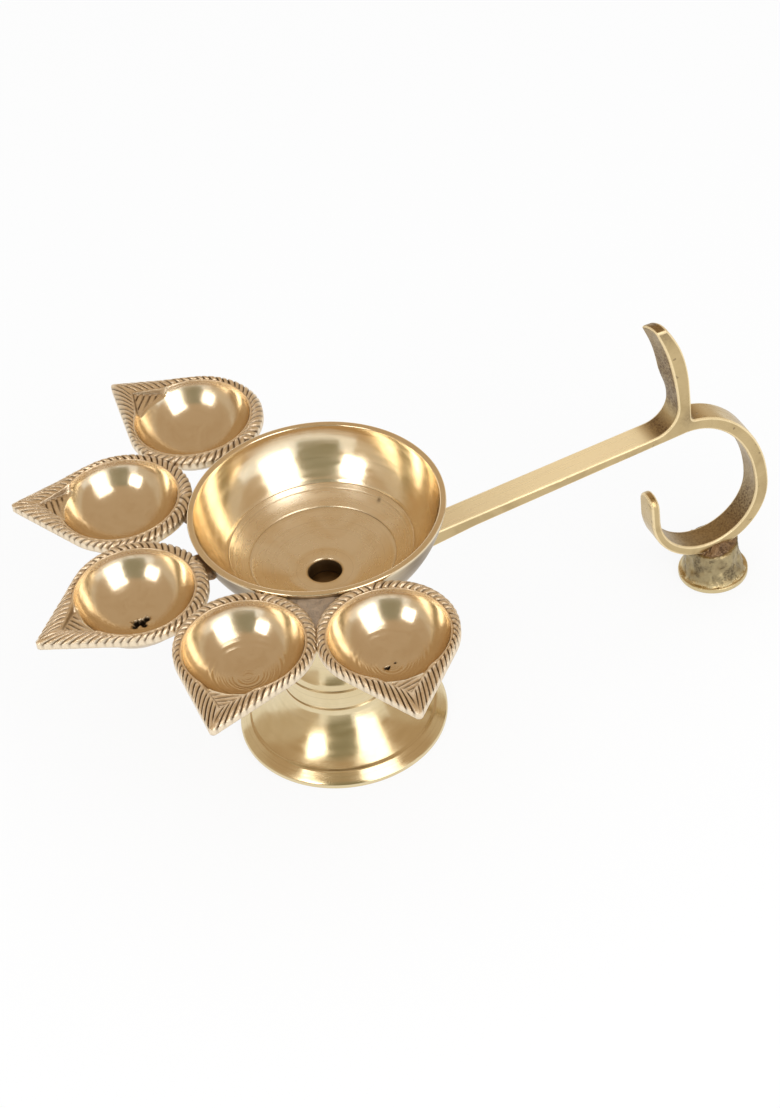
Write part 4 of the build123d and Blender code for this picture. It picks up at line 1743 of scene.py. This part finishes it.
BOWL_BRASS = TurnedBrass(
    "bowl_brass", colour=(0.9, 0.77, 0.55), warm=(0.84, 0.68, 0.44), dirt_and_shade=(0.18, 0.125, 0.07),
    satin=(0.95, 0.85, 0.66), roughness=(0.12, 0.2), satin_roughness=0.12, satin_radius=(26.0, 31.0),
    climb=1.0, mark_depth=0.006)
PEDESTAL_BRASS = TurnedBrass(
    "pedestal_brass", colour=(0.77, 0.64, 0.4), warm=(0.7, 0.56, 0.32), dirt_and_shade=(0.2, 0.13, 0.06),
    satin=(0.77, 0.64, 0.4), roughness=(0.14, 0.23), satin_roughness=0.0, satin_radius=(1.0, 2.0),
    climb=-1.0, mark_depth=0.006)
CUP_BRASS = LeafBrass(
    "cup_brass", hollow=(0.84, 0.72, 0.53), warm=(0.78, 0.64, 0.44), border=(0.87, 0.72, 0.52),
    pale=(0.97, 0.84, 0.65), crevice=(0.17, 0.115, 0.07), soot_and_shade=(0.02, 0.014, 0.01), hollow_roughness=(0.14, 0.23),
    border_roughness=(0.32, 0.45), mark_depth=0.01, groove_depth=0.24)
# The handle's grime colour also paints shade, and its worn colour also paints a highlight on the bar's top.
HANDLE_BRASS = CastBrass(
    "handle_brass", colour=(0.58, 0.44, 0.23), warm=(0.46, 0.34, 0.17), worn=(1.0, 0.81, 0.48),
    grime_and_shade=(0.13, 0.08, 0.045), roughness=(0.25, 0.36), pit_depth=0.08, rubbed_metallic=0.3)
FOOT_BRASS = CastBrass(
    "foot_brass", colour=(0.52, 0.42, 0.23), warm=(0.34, 0.26, 0.14), worn=(0.7, 0.57, 0.32),
    grime_and_shade=(0.13, 0.1, 0.06), roughness=(0.26, 0.4), pit_depth=0.3)
BRAZE = BrazeMetal(
    "braze", colour=(0.35, 0.23, 0.13), dark=(0.13, 0.085, 0.055), pale=(0.52, 0.39, 0.25),
    flux=(0.5, 0.4, 0.3), flux_metallic=0.35, roughness=(0.42, 0.6))
SCREW_BRASS = CastBrass(
    "screw_brass", colour=(0.24, 0.16, 0.08), warm=(0.18, 0.11, 0.055), worn=(0.4, 0.3, 0.16),
    grime_and_shade=(0.1, 0.07, 0.04), roughness=(0.3, 0.42), pit_depth=0.05)


@dataclass
class Lamp:
    """The whole lamp, piece by piece."""

    bowl: Bowl = field(default_factory=Bowl)
    pedestal: Pedestal = field(default_factory=Pedestal)
    handle: Handle = field(default_factory=Handle)
    foot: HookFoot = field(default_factory=HookFoot)
    cups: tuple[LeafCup, ...] = (
        LeafCup(1, 105.4, 62.3, 12.5, seams=(125.4,)),
        LeafCup(2, 145.4, 62.4, 5.5, seams=(125.4, 165.35)),
        LeafCup(3, 185.3, 63.0, 2.5, seams=(165.35, 205.35), pits=(
            Pit(-0.73, 0.8, 1.7, 0.8), Pit(0.77, 0.45, 1.7, 0.8), Pit(2.6, 0.9, 1.2, 0.6),
            Pit(-1.94, -0.4, 1.2, 0.6), Pit(1.0, -1.3, 1.1, 0.5))),
        LeafCup(4, 225.4, 61.6, 5.6, seams=(205.35, 246.0), marks=1.0),
        LeafCup(5, 266.6, 60.8, -6.4, seams=(246.0,), marks=0.5, pits=(
            Pit(-1.95, -0.13, 1.0, 0.5), Pit(-1.2, 0.1, 0.6, 0.3), Pit(1.03, 0.67, 0.5, 0.2))),
    )

    def build(self) -> None:
        """Builds and dresses every piece."""
        cup_brass = CUP_BRASS.material()
        handle_brass = HANDLE_BRASS.material()
        braze = BRAZE.material()
        self.bowl.build(BOWL_BRASS.material())
        self.pedestal.build(PEDESTAL_BRASS.material())
        for cup in self.cups:
            cup.build(self.bowl, cup_brass)
            cup.build_lug(self.bowl, braze)
        CupBraze(tuple(cup.bearing for cup in self.cups), web_bearing=246.0).build(self.bowl, braze)
        self.handle.build(handle_brass)
        self.handle.build_collar(self.bowl, braze)
        self.foot.build(FOOT_BRASS.material())
        self.foot.build_bead(braze)
        self.dress_screw(SCREW_BRASS.material())

    @staticmethod
    def dress_screw(finish: Material) -> None:
        """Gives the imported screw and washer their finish."""
        for name in ("tie_screw", "tie_washer"):
            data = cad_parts[name].data
            data.materials.clear()
            data.materials.append(finish)


def main() -> None:
    """Builds the studio and the lamp."""
    logging.basicConfig(level=logging.INFO, format="%(name)s: %(message)s")
    Studio().build()
    Lamp().build()


if __name__ == "__main__":
    main()
